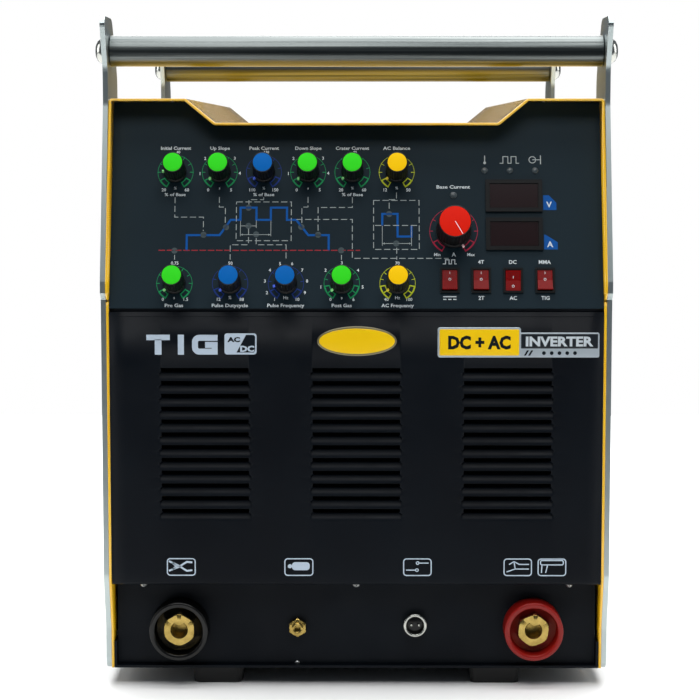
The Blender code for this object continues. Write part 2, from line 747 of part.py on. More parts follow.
HOLE_CLEARANCE = 0.0005
GAS_THREAD_RADIUS = 0.0048
TORCH_THREAD_RADIUS = 0.0078
socket_x = HALF_WIDTH - SOCKET_INSET
connector_half = INNER_HALF - PAN_SHEET - GAP
connector_bottom = PAN_TOP + GAP
CONNECTOR_BEHIND_LIP = 0.028
connector_top = LIP_HEIGHT + CONNECTOR_BEHIND_LIP
connector_holes = [
    circle(SPIGOT_RADIUS + HOLE_CLEARANCE, 24, -socket_x, SOCKET_HEIGHT),
    circle(SPIGOT_RADIUS + HOLE_CLEARANCE, 24, socket_x, SOCKET_HEIGHT),
    circle(GAS_THREAD_RADIUS + HOLE_CLEARANCE, 16, -FITTING_X, GAS_OUTLET_HEIGHT),
    circle(TORCH_THREAD_RADIUS + HOLE_CLEARANCE, 20, FITTING_X, TORCH_SOCKET_HEIGHT),
]
connector_outline = rectangle(
    2 * connector_half, connector_top - connector_bottom, 0, (connector_top + connector_bottom) / 2
)
plate(
    "connector_panel",
    [connector_outline, *connector_holes],
    PAN_SHEET,
    machine,
    (0, CONNECTOR_SETBACK + PAN_SHEET / 2, 0),
    UPRIGHT,
    BLACK_PAINT,
)

SOCKET_EDGE = 0.0008
SPIGOT_DEPTH = 0.010
KEY_INSET = 0.0013
KEY_SETBACK = 0.0015
ROOT_OVERLAP = 0.002
cup_floor = SOCKET_PROUD - SOCKET_CUP_DEPTH
for word, side, colour in (("negative", -1, BLACK_PLASTIC), ("positive", 1, RED_PLASTIC)):
    seat = (side * socket_x, CONNECTOR_SETBACK, SOCKET_HEIGHT)
    cup_radius = SOCKET_RADIUS - SOCKET_WALL
    throat = SOCKET_SHANK_RADIUS + FIT_CLEARANCE
    insulator = [
        (SOCKET_RADIUS - SOCKET_EDGE, SOCKET_PROUD),
        (SOCKET_RADIUS, SOCKET_PROUD - SOCKET_EDGE),
        (SOCKET_RADIUS, GAP),
        (SPIGOT_RADIUS, GAP),
        (SPIGOT_RADIUS, -SPIGOT_DEPTH),
        (throat, -SPIGOT_DEPTH),
        (throat, cup_floor),
        (cup_radius, cup_floor),
        (cup_radius, SOCKET_PROUD),
    ]
    turned("socket_insulator_" + word, insulator, 28, machine, seat, UPRIGHT, colour)
    nose_back = cup_floor + GAP
    brass = plate(
        "socket_brass_" + word,
        [circle(SOCKET_NOSE_ACROSS / math.sqrt(3), 6, start=math.pi / 2)],
        SOCKET_NOSE_PROUD - nose_back,
        machine,
        (seat[0], seat[1] - (SOCKET_NOSE_PROUD + nose_back) / 2, seat[2]),
        UPRIGHT,
        BRASS,
    )
    shank = bmesh.new()
    add_cylinder(shank, SOCKET_SHANK_RADIUS, (0, 0, -SOCKET_TAIL), (0, 0, nose_back + ROOT_OVERLAP), 20)
    boolean(brass, place("shank_" + word, mesh_from("shank", shank), machine, seat, UPRIGHT), "UNION")
    bore = bmesh.new()
    bore_end = SOCKET_NOSE_PROUD - SOCKET_BORE_DEPTH
    add_cylinder(bore, SOCKET_BORE_RADIUS, (0, 0, bore_end), (0, 0, 2 * SOCKET_NOSE_PROUD), 24)
    boolean(brass, place("bore_" + word, mesh_from("bore", bore), machine, seat, UPRIGHT))
    key = bmesh.new()
    key_y = SOCKET_BORE_RADIUS - KEY_INSET
    key_root = (0, key_y, nose_back + ROOT_OVERLAP / 2)
    key_face = (0, key_y, SOCKET_NOSE_PROUD - KEY_SETBACK)
    add_cylinder(key, SOCKET_KEY_RADIUS, key_root, key_face, 16)
    boolean(brass, place("key_" + word, mesh_from("key", key), machine, seat, UPRIGHT), "UNION")

gas_seat = (-FITTING_X, CONNECTOR_SETBACK, GAS_OUTLET_HEIGHT)
GAS_PROUD = 0.0090
GAS_THREAD = 0.020
gas_outlet = plate(
    "gas_outlet",
    [circle(GAS_HEX_ACROSS / math.sqrt(3), 6, start=math.pi / 2)],
    GAS_PROUD - GAP,
    machine,
    (gas_seat[0], gas_seat[1] - (GAS_PROUD + GAP) / 2, gas_seat[2]),
    UPRIGHT,
    BRASS,
)
thread = bmesh.new()
add_cylinder(thread, GAS_THREAD_RADIUS, (0, 0, -GAS_THREAD), (0, 0, GAS_PROUD / 2), 16)
gas_thread = place("gas_thread", mesh_from("gas_thread", thread), machine, gas_seat, UPRIGHT)
boolean(gas_outlet, gas_thread, "UNION")
gas_way = bmesh.new()
add_cylinder(gas_way, GAS_BORE_RADIUS, (0, 0, -2 * GAS_THREAD), (0, 0, 2 * GAS_PROUD), 12)
boolean(gas_outlet, place("gas_way", mesh_from("gas_way", gas_way), machine, gas_seat, UPRIGHT))

torch_seat = (FITTING_X, CONNECTOR_SETBACK, TORCH_SOCKET_HEIGHT)
TORCH_PROUD = 0.0095
TORCH_WALL = 0.0022
TORCH_EDGE = 0.0006
TORCH_FLOOR = 0.0012
TORCH_THREAD = 0.016
PIN_RADIUS = 0.0011
PIN_TIP = 0.0065
torch_cup = TORCH_RADIUS - TORCH_WALL
torch_profile = [
    (0, TORCH_FLOOR),
    (torch_cup, TORCH_FLOOR),
    (torch_cup, TORCH_PROUD - TORCH_EDGE),
    (torch_cup + TORCH_EDGE, TORCH_PROUD),
    (TORCH_RADIUS - TORCH_EDGE, TORCH_PROUD),
    (TORCH_RADIUS, TORCH_PROUD - TORCH_EDGE),
    (TORCH_RADIUS, GAP),
    (TORCH_THREAD_RADIUS, GAP),
    (TORCH_THREAD_RADIUS, -TORCH_THREAD),
    (0, -TORCH_THREAD),
]
torch_socket = turned("torch_socket", torch_profile, 20, machine, torch_seat, UPRIGHT, BRIGHT_STEEL)
pins = bmesh.new()
for side in (-1, 1):
    x = side * TORCH_PIN_SPACING / 2
    add_cylinder(pins, PIN_RADIUS, (x, 0, TORCH_FLOOR / 3), (x, 0, PIN_TIP), 8)
torch_pins = place("torch_pins", mesh_from("torch_pins", pins), machine, torch_seat, UPRIGHT)
boolean(torch_socket, torch_pins, "UNION")

# ---- Side frames, grab bars and their bolts ----

front_bar_y = FRONT_BAR_SETBACK
rear_bar_y = FRONT_BAR_SETBACK + BAR_SPACING
frame_top = SHOULDER_HEIGHT - 0.004


def horn(axis_y, lean_from):
    """One horn round a bar's axis: its front corner, leaning tip and rear corner, with fillet radii."""
    front, rear = axis_y + HORN_FRONT, axis_y + HORN_REAR
    points = [
        (front, HORN_NECK),
        (front - HORN_LEAN, HORN_TIP),
        (rear - HORN_LEAN - 0.014, HORN_TIP),
        (rear, HORN_NECK - 0.004),
        (rear, frame_top),
    ]
    radii = [0.020, 0.006, 0.016, 0.030, 0.006]
    if lean_from is not None:
        points.insert(0, lean_from)
        radii.insert(0, 0.006)
    return points, radii


front_points, front_radii = horn(front_bar_y, None)
rear_points, rear_radii = horn(rear_bar_y, (rear_bar_y + HORN_FRONT, frame_top))
toe = front_edge(FRAME_EDGE_SETBACK)
frame_rear = CASE_DEPTH - FRAME_REAR_SETBACK
frame_points = (
    [(TOE_SETBACK + FRAME_EDGE_SETBACK, FRAME_BOTTOM)]
    + toe[:-1]
    + [(front_bar_y + HORN_FRONT, frame_top)]
    + front_points
    + rear_points[:-1]
    + [
        (rear_bar_y + HORN_REAR, frame_top + 0.002),
        (frame_rear, frame_top - 0.008),
        (frame_rear, FRAME_BOTTOM),
    ]
)
frame_radii = (
    [FRAME_CORNER, 0.02, 0.02, 0.001, 0.001, 0.008, 0.02]
    + front_radii
    + rear_radii[:-1]
    + [0.001, 0.006, FRAME_CORNER]
)
frame_outline = filleted(frame_points, frame_radii, 6)
window = filleted(
    [
        (window_front, window_bottom),
        (window_rear, window_bottom),
        (window_rear, window_top),
        (window_front, window_top),
    ],
    WINDOW_CORNER,
    8,
)
bolt_holes = [
    circle(BOLT_RADIUS + BOLT_CLEARANCE, 16, bar_y, BAR_HEIGHT) for bar_y in (front_bar_y, rear_bar_y)
]
for word, side in (("left", -1), ("right", 1)):
    plate(
        "side_frame_" + word,
        [frame_outline, window, *bolt_holes],
        FRAME_SHEET,
        machine,
        (side * (HALF_WIDTH + GAP + FRAME_SHEET / 2), 0, 0),
        SIDEWAYS,
        BRIGHT_STEEL,
    )

bar_half = HALF_WIDTH
bar_radius = BAR_DIAMETER / 2
bolt_way = BOLT_RADIUS + BOLT_CLEARANCE
bore_floor = bar_half - BOLT_GRIP
BAR_EDGE = 0.0008
bar_profile = [
    (0, bore_floor),
    (bolt_way, bore_floor),
    (bolt_way, bar_half),
    (bar_radius - BAR_EDGE, bar_half),
    (bar_radius, bar_half - BAR_EDGE),
    (bar_radius, -bar_half + BAR_EDGE),
    (bar_radius - BAR_EDGE, -bar_half),
    (bolt_way, -bar_half),
    (bolt_way, -bore_floor),
    (0, -bore_floor),
]
head_face = HALF_WIDTH + GAP + FRAME_SHEET + GAP
BOLT_END_SPARE = 0.002
shank_end = -(head_face - bore_floor - BOLT_END_SPARE)
dome = [
    (BOLT_HEAD_RADIUS * math.sin(turn), BOLT_HEAD_HEIGHT * (0.2 + 0.8 * math.cos(turn)))
    for turn in [math.pi / 2 * step / 4 for step in range(5)]
]
bolt_profile = dome + [(BOLT_HEAD_RADIUS, 0), (BOLT_RADIUS, 0), (BOLT_RADIUS, shank_end), (0, shank_end)]
for word, bar_y in (("front", front_bar_y), ("rear", rear_bar_y)):
    turned(
        word + "_grab_bar",
        bar_profile,
        24,
        machine,
        (0, bar_y, BAR_HEIGHT),
        (0, math.pi / 2, 0),
        POLISHED_STEEL,
    )
    for hand, side in (("left", -1), ("right", 1)):
        turned(
            f"bar_bolt_{word}_{hand}",
            bolt_profile,
            16,
            machine,
            (side * head_face, bar_y, BAR_HEIGHT),
            (0, side * math.pi / 2, 0),
            BRIGHT_STEEL,
        )

# ---- Rear panel: x runs to the machine's left here, y up, z out of the back ----

rear = empty("rear_panel_axes", (0, REAR_FACE, 0), REARWARD, machine)
GLAND_THREAD_RADIUS = 0.0105
GAS_INLET_THREAD_RADIUS = 0.0060
rear_outline = section(COVER_SHEET + GAP, PAN_BOTTOM)
REAR_SLOT_MARGIN = 0.045
slot_bottom = PAN_BOTTOM + REAR_SLOT_MARGIN
rear_slots = [
    rectangle(REAR_SLOT_WIDTH, REAR_SLOT, side * REAR_SLOT_STEP / 2, slot_bottom + row * REAR_SLOT_PITCH)
    for side in (-1, 1)
    for row in range(REAR_SLOT_ROWS)
]
breaker_hole = (BREAKER_WIDTH + 2 * HOLE_CLEARANCE, BREAKER_NOSE + 2 * HOLE_CLEARANCE)
rear_holes = [
    circle(FAN_BORE_RADIUS, 32, 0, FAN_HEIGHT),
    rectangle(*breaker_hole, -BREAKER_X, BREAKER_HEIGHT),
    circle(GLAND_THREAD_RADIUS + HOLE_CLEARANCE, 20, -INLET_X, GLAND_HEIGHT),
    circle(GAS_INLET_THREAD_RADIUS + HOLE_CLEARANCE, 16, -INLET_X, GAS_INLET_HEIGHT),
]
plate(
    "rear_panel",
    [rear_outline, *rear_holes, *rear_slots],
    PANEL_SHEET,
    rear,
    (0, 0, -PANEL_SHEET / 2),
    material=BLACK_PAINT,
)
inside = -PANEL_SHEET - GAP

fan_frame = plate(
    "fan_frame",
    [rectangle(FAN_SIZE, FAN_SIZE), circle(FAN_BORE_RADIUS, 32)],
    FAN_DEPTH,
    rear,
    (0, FAN_HEIGHT, inside - FAN_DEPTH / 2),
    material=BLACK_PLASTIC,
)
fan_inner = inside - FAN_DEPTH
STRUT = 0.005
HUB_EDGE = 0.002
RUNNING_GAP = 0.0006
strut_reach = FAN_BORE_RADIUS + STRUT / 2
for index, (across, along) in enumerate([(strut_reach, STRUT / 2), (STRUT / 2, strut_reach)]):
    strut = [((-across, -along, fan_inner + JOIN), (across, along, fan_inner + STRUT))]
    boolean(fan_frame, boxes(f"fan_strut_{index}", strut, rear, (0, FAN_HEIGHT, 0)), "UNION")
boss = bmesh.new()
boss_face = fan_inner + 1.2 * STRUT
add_cylinder(boss, FAN_HUB_RADIUS - HUB_EDGE, (0, 0, fan_inner), (0, 0, boss_face), 24)
boolean(fan_frame, place("fan_boss", mesh_from("fan_boss", boss), rear, (0, FAN_HEIGHT, 0)), "UNION")
spindle = bmesh.new()
hub_start = boss_face + RUNNING_GAP
hub_end = inside - FAN_SETBACK
spindle_end = hub_start + 0.6 * (hub_end - hub_start)
add_cylinder(spindle, FAN_SPINDLE_RADIUS, (0, 0, boss_face - HUB_EDGE), (0, 0, spindle_end), 16)
fan_spindle = place("fan_spindle", mesh_from("fan_spindle", spindle), rear, (0, FAN_HEIGHT, 0))
boolean(fan_frame, fan_spindle, "UNION")

spindle_way = FAN_SPINDLE_RADIUS + FIT_CLEARANCE
hub_profile = [
    (0, hub_end),
    (FAN_HUB_RADIUS - HUB_EDGE, hub_end),
    (FAN_HUB_RADIUS, hub_end - HUB_EDGE),
    (FAN_HUB_RADIUS, hub_start),
    (spindle_way, hub_start),
    (spindle_way, spindle_end + FIT_CLEARANCE),
    (0, spindle_end + FIT_CLEARANCE),
]
fan_rotor = turned("fan_rotor", hub_profile, 28, rear, (0, FAN_HEIGHT, 0), material=BLACK_PLASTIC)
BLADE_ROOT = FAN_HUB_RADIUS - HUB_EDGE
BLADE_TIP = FAN_BORE_RADIUS - 0.003
BLADE_STATIONS = 4
BLADE_THICKNESS = 0.002
ROOT_CHORD, TIP_CHORD = 0.022, 0.038
ROOT_PITCH, TIP_PITCH = math.radians(42), math.radians(28)
BLADE_SWEEP = 0.25
blades = bmesh.new()
for number in range(FAN_BLADES):
    rings = []
    for station in range(BLADE_STATIONS):
        share = station / (BLADE_STATIONS - 1)
        radius = BLADE_ROOT + share * (BLADE_TIP - BLADE_ROOT)
        chord = ROOT_CHORD + share * (TIP_CHORD - ROOT_CHORD)
        pitch = ROOT_PITCH + share * (TIP_PITCH - ROOT_PITCH)
        turn = 2 * math.pi * number / FAN_BLADES + BLADE_SWEEP * share
        outward = Vector((math.cos(turn), math.sin(turn), 0))
        sideways = Vector((-math.sin(turn), math.cos(turn), 0))
        along = sideways * math.cos(pitch) + Vector((0, 0, math.sin(pitch)))
        across = outward.cross(along)
        middle = outward * radius + Vector((0, 0, (hub_start + hub_end) / 2))
        corners = [
            middle + along * chord / 2 * a + across * BLADE_THICKNESS / 2 * b
            for a, b in ((-1, -1), (1, -1), (1, 1), (-1, 1))
        ]
        rings.append([blades.verts.new(corner) for corner in corners])
    for lower, upper in zip(rings, rings[1:]):
        for side in range(4):
            following = (side + 1) % 4
            blades.faces.new((lower[side], lower[following], upper[following], upper[side]))
    blades.faces.new(rings[0])
    blades.faces.new(rings[-1])
fan_blades = place("fan_blades", mesh_from("fan_blades", blades), rear, (0, FAN_HEIGHT, 0))
boolean(fan_rotor, fan_blades, "UNION")

ring_outlines = []
for radius in GUARD_RINGS:
    ring_outlines += [circle(radius + GUARD_WIRE / 2, 28), circle(radius - GUARD_WIRE / 2, 28)]
guard_low = GAP + GUARD_PROUD - GUARD_WIRE
fan_guard = plate(
    "fan_guard",
    ring_outlines,
    GUARD_WIRE,
    rear,
    (0, FAN_HEIGHT, guard_low + GUARD_WIRE / 2),
    material=BRIGHT_STEEL,
)
spokes = bmesh.new()
eyes = bmesh.new()
EYE_RADIUS = 0.0048
EYE_INSET = 0.008
eye_reach = (FAN_SIZE / 2 - EYE_INSET) * math.sqrt(2)
for quarter in range(4):
    turn = math.radians(45 + 90 * quarter)
    outward = Vector((math.cos(turn), math.sin(turn), 0))
    rise = Vector((0, 0, guard_low + GUARD_WIRE / 2))
    spoke_start = outward * (GUARD_RINGS[0] - JOIN) + rise
    add_cylinder(spokes, GUARD_WIRE * 0.62, spoke_start, outward * eye_reach + rise, 6)
    eye_foot = outward * eye_reach + Vector((0, 0, GAP))
    add_cylinder(eyes, EYE_RADIUS, eye_foot, eye_foot + Vector((0, 0, GUARD_PROUD)), 12)
for word, wires in (("guard_spokes", spokes), ("guard_eyes", eyes)):
    boolean(fan_guard, place(word, mesh_from(word, wires), rear, (0, FAN_HEIGHT, 0)), "UNION")

breaker_seat = (-BREAKER_X, BREAKER_HEIGHT, 0)
breaker = boxes(
    "mains_breaker",
    [
        (
            (-BREAKER_WIDTH / 2, -BREAKER_BODY / 2, inside - BREAKER_DEPTH),
            (BREAKER_WIDTH / 2, BREAKER_BODY / 2, inside),
        )
    ],
    rear,
    breaker_seat,
    material=BLACK_PLASTIC,
)
nose_box = [
    (
        (-BREAKER_WIDTH / 2 + GAP, -BREAKER_NOSE / 2, inside - 0.005),
        (BREAKER_WIDTH / 2 - GAP, BREAKER_NOSE / 2, BREAKER_NOSE_PROUD),
    )
]
boolean(breaker, boxes("breaker_nose", nose_box, rear, breaker_seat), "UNION")
LEVER_SINK = 0.0040
LEVER_CLEARANCE = 0.0005
lever_axis = BREAKER_NOSE_PROUD - LEVER_SINK
drum_way = bmesh.new()
way_half = LEVER_WIDTH / 2 + LEVER_CLEARANCE
add_cylinder(
    drum_way,
    LEVER_RADIUS + LEVER_CLEARANCE,
    (-way_half, 0, lever_axis),
    (way_half, 0, lever_axis),
    20,
)
boolean(breaker, place("drum_way", mesh_from("drum_way", drum_way), rear, breaker_seat))
drum = bmesh.new()
add_cylinder(drum, LEVER_RADIUS, (-LEVER_WIDTH / 2, 0, 0), (LEVER_WIDTH / 2, 0, 0), 20)
lever_seat = (-BREAKER_X, BREAKER_HEIGHT, lever_axis)
lever = place("breaker_lever", mesh_from("breaker_lever", drum), rear, lever_seat, material=BLACK_PLASTIC)
LEVER_THICKNESS = 0.0030
handle = boxes(
    "lever_handle",
    [
        (
            (-LEVER_WIDTH / 2 + 0.0005, -LEVER_THICKNESS / 2, 0.001),
            (LEVER_WIDTH / 2 - 0.0005, LEVER_THICKNESS / 2, LEVER_REACH),
        )
    ],
    rear,
    lever_seat,
    (-LEVER_REST, 0, 0),
)
boolean(lever, handle, "UNION")

GLAND_NUT_HEIGHT = 0.014
GLAND_STEP = 0.002
gland_profile = [
    (GLAND_BORE_RADIUS + GLAND_STEP, GLAND_PROUD + GAP),
    (GLAND_RADIUS - 2.5 * GLAND_STEP, GLAND_PROUD + GAP),
    (GLAND_RADIUS - GLAND_STEP, GLAND_PROUD - 1.5 * GLAND_STEP),
    (GLAND_RADIUS - GLAND_STEP / 2, GLAND_NUT_HEIGHT + GLAND_STEP),
    (GLAND_RADIUS, GLAND_NUT_HEIGHT),
    (GLAND_RADIUS, GAP),
    (GLAND_THREAD_RADIUS, GAP),
    (GLAND_THREAD_RADIUS, -GLAND_NUT_HEIGHT),
    (GLAND_BORE_RADIUS, -GLAND_NUT_HEIGHT),
    (GLAND_BORE_RADIUS, GLAND_PROUD - GLAND_STEP),
]
turned("cable_gland", gland_profile, 20, rear, (-INLET_X, GLAND_HEIGHT, 0), material=BLACK_PLASTIC)

BARB_RADIUS = 0.0050
BARB_STEP = 0.0010
BARB_TIP = 0.030
BARB_PITCH = 0.0055
FLANGE_RADIUS = 0.0085
FLANGE_HEIGHT = 0.0080
INLET_THREAD = 0.016
GAS_INLET_BORE = 0.0025
neck = BARB_RADIUS - BARB_STEP
barb_profile = [
    (GAS_INLET_BORE, BARB_TIP),
    (neck, BARB_TIP),
    (BARB_RADIUS, BARB_TIP - BARB_PITCH + BARB_STEP),
    (neck, BARB_TIP - BARB_PITCH),
    (BARB_RADIUS, BARB_TIP - 2 * BARB_PITCH + BARB_STEP),
    (neck, BARB_TIP - 2 * BARB_PITCH),
    (neck, FLANGE_HEIGHT + BARB_STEP),
    (FLANGE_RADIUS, FLANGE_HEIGHT),
    (FLANGE_RADIUS, GAP),
    (GAS_INLET_THREAD_RADIUS, GAP),
    (GAS_INLET_THREAD_RADIUS, -INLET_THREAD),
    (GAS_INLET_BORE, -INLET_THREAD),
]
turned("gas_inlet", barb_profile, 16, rear, (-INLET_X, GAS_INLET_HEIGHT, 0), material=BRASS)

# ---- Inside: the inverter on its heat sink, transformer, choke, arc starter and gas valve ----

deck = PAN_TOP + GAP
HEATSINK = {"x": -0.075, "y": 0.300, "width": 0.140, "length": 0.240, "height": 0.058}
FIN_COUNT = 10
FIN = 0.0025
BASE_PLATE = 0.008
comb = []
fin_pitch = (HEATSINK["width"] - FIN) / (FIN_COUNT - 1)
left_side = -HEATSINK["width"] / 2
for number in range(FIN_COUNT):
    near = left_side + number * fin_pitch
    top_of_fins = HEATSINK["height"] - BASE_PLATE
    comb += [(near, 0), (near + FIN, 0)]
    if number < FIN_COUNT - 1:
        comb += [(near + FIN, top_of_fins), (near + fin_pitch, top_of_fins)]
comb += [(-left_side, HEATSINK["height"]), (left_side, HEATSINK["height"])]
plate(
    "power_heatsink",
    [comb],
    HEATSINK["length"],
    machine,
    (HEATSINK["x"], HEATSINK["y"], deck),
    UPRIGHT,
    ALUMINIUM,
)

STANDOFF = 0.008
board_height = deck + HEATSINK["height"] + GAP + STANDOFF
inverter_board = boxes(
    "inverter_board",
    [
        (
            (-HEATSINK["width"] / 2, -HEATSINK["length"] / 2, 0),
            (HEATSINK["width"] / 2, HEATSINK["length"] / 2, BOARD_SHEET),
        )
    ],
    machine,
    (HEATSINK["x"], HEATSINK["y"], board_height),
    material=CIRCUIT_BOARD,
)
CAPACITOR_RADIUS, CAPACITOR_HEIGHT = 0.0175, 0.050
CAPACITOR_STEP = (0.068, 0.060)
PILLAR_RADIUS, PILLAR_INSET = 0.003, 0.006
board_parts = bmesh.new()
for column in (-0.5, 0.5):
    for row in (-1, 0, 1):
        foot = Vector((column * CAPACITOR_STEP[0], row * CAPACITOR_STEP[1], BOARD_SHEET - JOIN))
        add_cylinder(board_parts, CAPACITOR_RADIUS, foot, foot + Vector((0, 0, CAPACITOR_HEIGHT)), 16)
pillar_x = HEATSINK["width"] / 2 - PILLAR_INSET
pillar_y = HEATSINK["length"] / 2 - PILLAR_INSET
for across in (-1, 1):
    for along in (-1, 1):
        x, y = across * pillar_x, along * pillar_y
        add_cylinder(board_parts, PILLAR_RADIUS, (x, y, -STANDOFF), (x, y, JOIN), 8)
board_at = (HEATSINK["x"], HEATSINK["y"], board_height)
mounted = place("board_parts", mesh_from("board_parts", board_parts), machine, board_at)
boolean(inverter_board, mounted, "UNION")

TRANSFORMER_AT = (0.085, 0.285, deck)
CORE_WIDTH, CORE_HEIGHT, CORE_DEPTH, CORE_LEG = 0.100, 0.084, 0.046, 0.016
window_width = (CORE_WIDTH - 4 * CORE_LEG) / 2
window_x = CORE_LEG + window_width / 2
core_windows = [
    rectangle(window_width, CORE_HEIGHT - 2 * CORE_LEG, side * window_x, CORE_HEIGHT / 2) for side in (-1, 1)
]
transformer = plate(
    "main_transformer",
    [rectangle(CORE_WIDTH, CORE_HEIGHT, 0, CORE_HEIGHT / 2), *core_windows],
    CORE_DEPTH,
    machine,
    TRANSFORMER_AT,
    UPRIGHT,
    COPPER,
)
WINDING_GAP = 0.002
WINDING_BULGE = 0.015
winding_half = CORE_LEG + window_width - WINDING_GAP
winding_reach = CORE_DEPTH / 2 + WINDING_BULGE
winding = [
    (
        (-winding_half, -winding_reach, CORE_LEG + WINDING_GAP),
        (winding_half, winding_reach, CORE_HEIGHT - CORE_LEG - WINDING_GAP),
    )
]
boolean(transformer, boxes("winding", winding, machine, TRANSFORMER_AT), "UNION")

CHOKE_RADIUS, CHOKE_TUBE = 0.034, 0.015
choke_ring = [
    (CHOKE_RADIUS + CHOKE_TUBE * math.cos(turn), CHOKE_TUBE * (1 + math.sin(turn)))
    for turn in [math.pi / 2 - 2 * math.pi * step / 10 for step in range(10)]
]
CHOKE_AT = (-0.100, 0.105, deck)
turned("output_choke", choke_ring, 20, machine, CHOKE_AT, material=COPPER)

HF_AT = (0.085, 0.110, deck)
HF_BOX = [((-0.036, -0.030, 0), (0.036, 0.030, 0.045))]
HF_COIL_RADIUS, HF_COIL_HALF, HF_COIL_HEIGHT = 0.020, 0.030, 0.058
hf_unit = boxes("hf_unit", HF_BOX, machine, HF_AT, material=BLACK_PLASTIC)
hf_coil = bmesh.new()
coil_start = (-HF_COIL_HALF, 0, HF_COIL_HEIGHT)
add_cylinder(hf_coil, HF_COIL_RADIUS, coil_start, (HF_COIL_HALF, 0, HF_COIL_HEIGHT), 16)
boolean(hf_unit, place("hf_coil", mesh_from("hf_coil", hf_coil), machine, HF_AT), "UNION")

VALVE_AT = (0, 0.090, deck)
VALVE_BODY = [((-0.014, -0.020, 0), (0.014, 0.020, 0.018))]
VALVE_COIL_RADIUS, VALVE_COIL_TOP = 0.012, 0.048
gas_solenoid = boxes("gas_solenoid", VALVE_BODY, machine, VALVE_AT, material=BRASS)
valve_coil = bmesh.new()
add_cylinder(valve_coil, VALVE_COIL_RADIUS, (0, 0, ROOT_OVERLAP), (0, 0, VALVE_COIL_TOP), 16)
boolean(gas_solenoid, place("valve_coil", mesh_from("valve_coil", valve_coil), machine, VALVE_AT), "UNION")
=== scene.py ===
"""TIG welding machine: sheet, plate, knobs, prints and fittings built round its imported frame.

Lengths are in metres. The front faces -Y. The leaning control panel has its own directions: x to the right,
s up its face from the bend, and h out of the face.
"""

import json
import math

import bmesh
import bpy
import numpy as np
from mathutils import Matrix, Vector


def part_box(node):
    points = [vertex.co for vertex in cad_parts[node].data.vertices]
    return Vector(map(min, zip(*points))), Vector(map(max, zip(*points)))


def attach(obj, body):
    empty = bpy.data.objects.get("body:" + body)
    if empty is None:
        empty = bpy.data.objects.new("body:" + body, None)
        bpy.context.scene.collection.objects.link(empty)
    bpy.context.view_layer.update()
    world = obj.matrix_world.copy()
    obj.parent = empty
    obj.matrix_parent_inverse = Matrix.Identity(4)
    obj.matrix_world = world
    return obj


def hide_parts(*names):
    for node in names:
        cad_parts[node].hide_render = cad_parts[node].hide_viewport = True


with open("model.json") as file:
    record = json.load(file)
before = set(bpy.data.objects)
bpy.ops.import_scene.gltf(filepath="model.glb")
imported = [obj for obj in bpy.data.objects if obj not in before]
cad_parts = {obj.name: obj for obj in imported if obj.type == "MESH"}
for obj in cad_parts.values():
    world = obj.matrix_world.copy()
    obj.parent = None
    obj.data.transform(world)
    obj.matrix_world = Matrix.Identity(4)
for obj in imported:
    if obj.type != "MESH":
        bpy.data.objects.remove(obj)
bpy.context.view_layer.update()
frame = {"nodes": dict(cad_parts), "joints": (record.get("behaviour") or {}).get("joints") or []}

# ---- Camera, paper floor and softboxes ----
# A long lens looks slightly down at the front. The floor is matt white paper and ends well behind.
# A large softbox hangs overhead, one leans in high from the front, and one stands at each side and behind.

face_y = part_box("front_panel")[0].y
CAMERA_HEIGHT = 0.4495
CAMERA_DISTANCE = 1.7114
CAMERA_TILT = math.radians(5.737)
CAMERA_TURN = math.radians(0.32)
lens = bpy.data.cameras.new("camera")
lens.sensor_width = 36
lens.lens = 110.57
camera = bpy.data.objects.new("camera", lens)
camera.location = (0.0045, face_y - CAMERA_DISTANCE, CAMERA_HEIGHT)
camera.rotation_euler = (math.pi / 2 - CAMERA_TILT, 0, CAMERA_TURN)
bpy.context.scene.collection.objects.link(camera)
bpy.context.scene.camera = camera
bpy.context.scene.view_settings.view_transform = "Standard"


def linear(code):
    """The linear red, green, blue and alpha of an sRGB hex colour."""
    parts = [int(code[at : at + 2], 16) / 255 for at in (0, 2, 4)]
    return [part / 12.92 if part <= 0.04045 else ((part + 0.055) / 1.055) ** 2.4 for part in parts] + [1.0]


def add_node(tree, kind, links=(), **settings):
    """Adds a shader node with settings and input values; links pairs an input's name with an output."""
    node = tree.nodes.new(kind)
    for name, value in settings.items():
        if hasattr(node, name):
            setattr(node, name, value)
        else:
            node.inputs[name.replace("_", " ")].default_value = value
    for socket, output in links:
        tree.links.new(output, node.inputs[socket])
    return node


def new_material(name, **values):
    """A material whose Principled shader has these input values; underscores stand for spaces."""
    made = bpy.data.materials.new(name)
    made.use_nodes = True
    shader = made.node_tree.nodes["Principled BSDF"]
    for key, value in values.items():
        shader.inputs[key.replace("_", " ")].default_value = value
    return made, made.node_tree, shader


def plain_material(name, **values):
    """A material that has no pattern."""
    return new_material(name, **values)[0]


def grid_mesh(name, points, closed_columns=False, holes=None):
    """Quads over an array of rows by columns by 3, but for those a mask marks as holes.

    A face's outside is the row direction crossed with the column's.
    """
    rows, columns = points.shape[:2]
    index = np.arange(rows * columns).reshape(rows, columns)
    if closed_columns:
        index = np.hstack([index, index[:, :1]])
    quads = np.stack([index[:-1, :-1], index[1:, :-1], index[1:, 1:], index[:-1, 1:]], axis=-1)
    kept = quads.reshape(-1, 4) if holes is None else quads[~holes]
    mesh = bpy.data.meshes.new(name)
    mesh.from_pydata(points.reshape(-1, 3).tolist(), [], kept.tolist())
    return mesh


FLOOR_HALF = 3.0
FLOOR_FRONT = -0.85
FLOOR_REAR = 1.4
floor_x = np.array([-FLOOR_HALF, FLOOR_HALF])[:, None]
floor_y = np.array([FLOOR_FRONT, FLOOR_REAR])[None, :]
floor = np.stack(np.broadcast_arrays(floor_x, floor_y, 0.0), axis=-1)
paper = bpy.data.objects.new("paper_floor", grid_mesh("paper_floor", floor))
bpy.context.scene.collection.objects.link(paper)
paper.data.materials.append(plain_material("matt_white_paper", Base_Color=linear("fbfbfa"), Roughness=0.9))

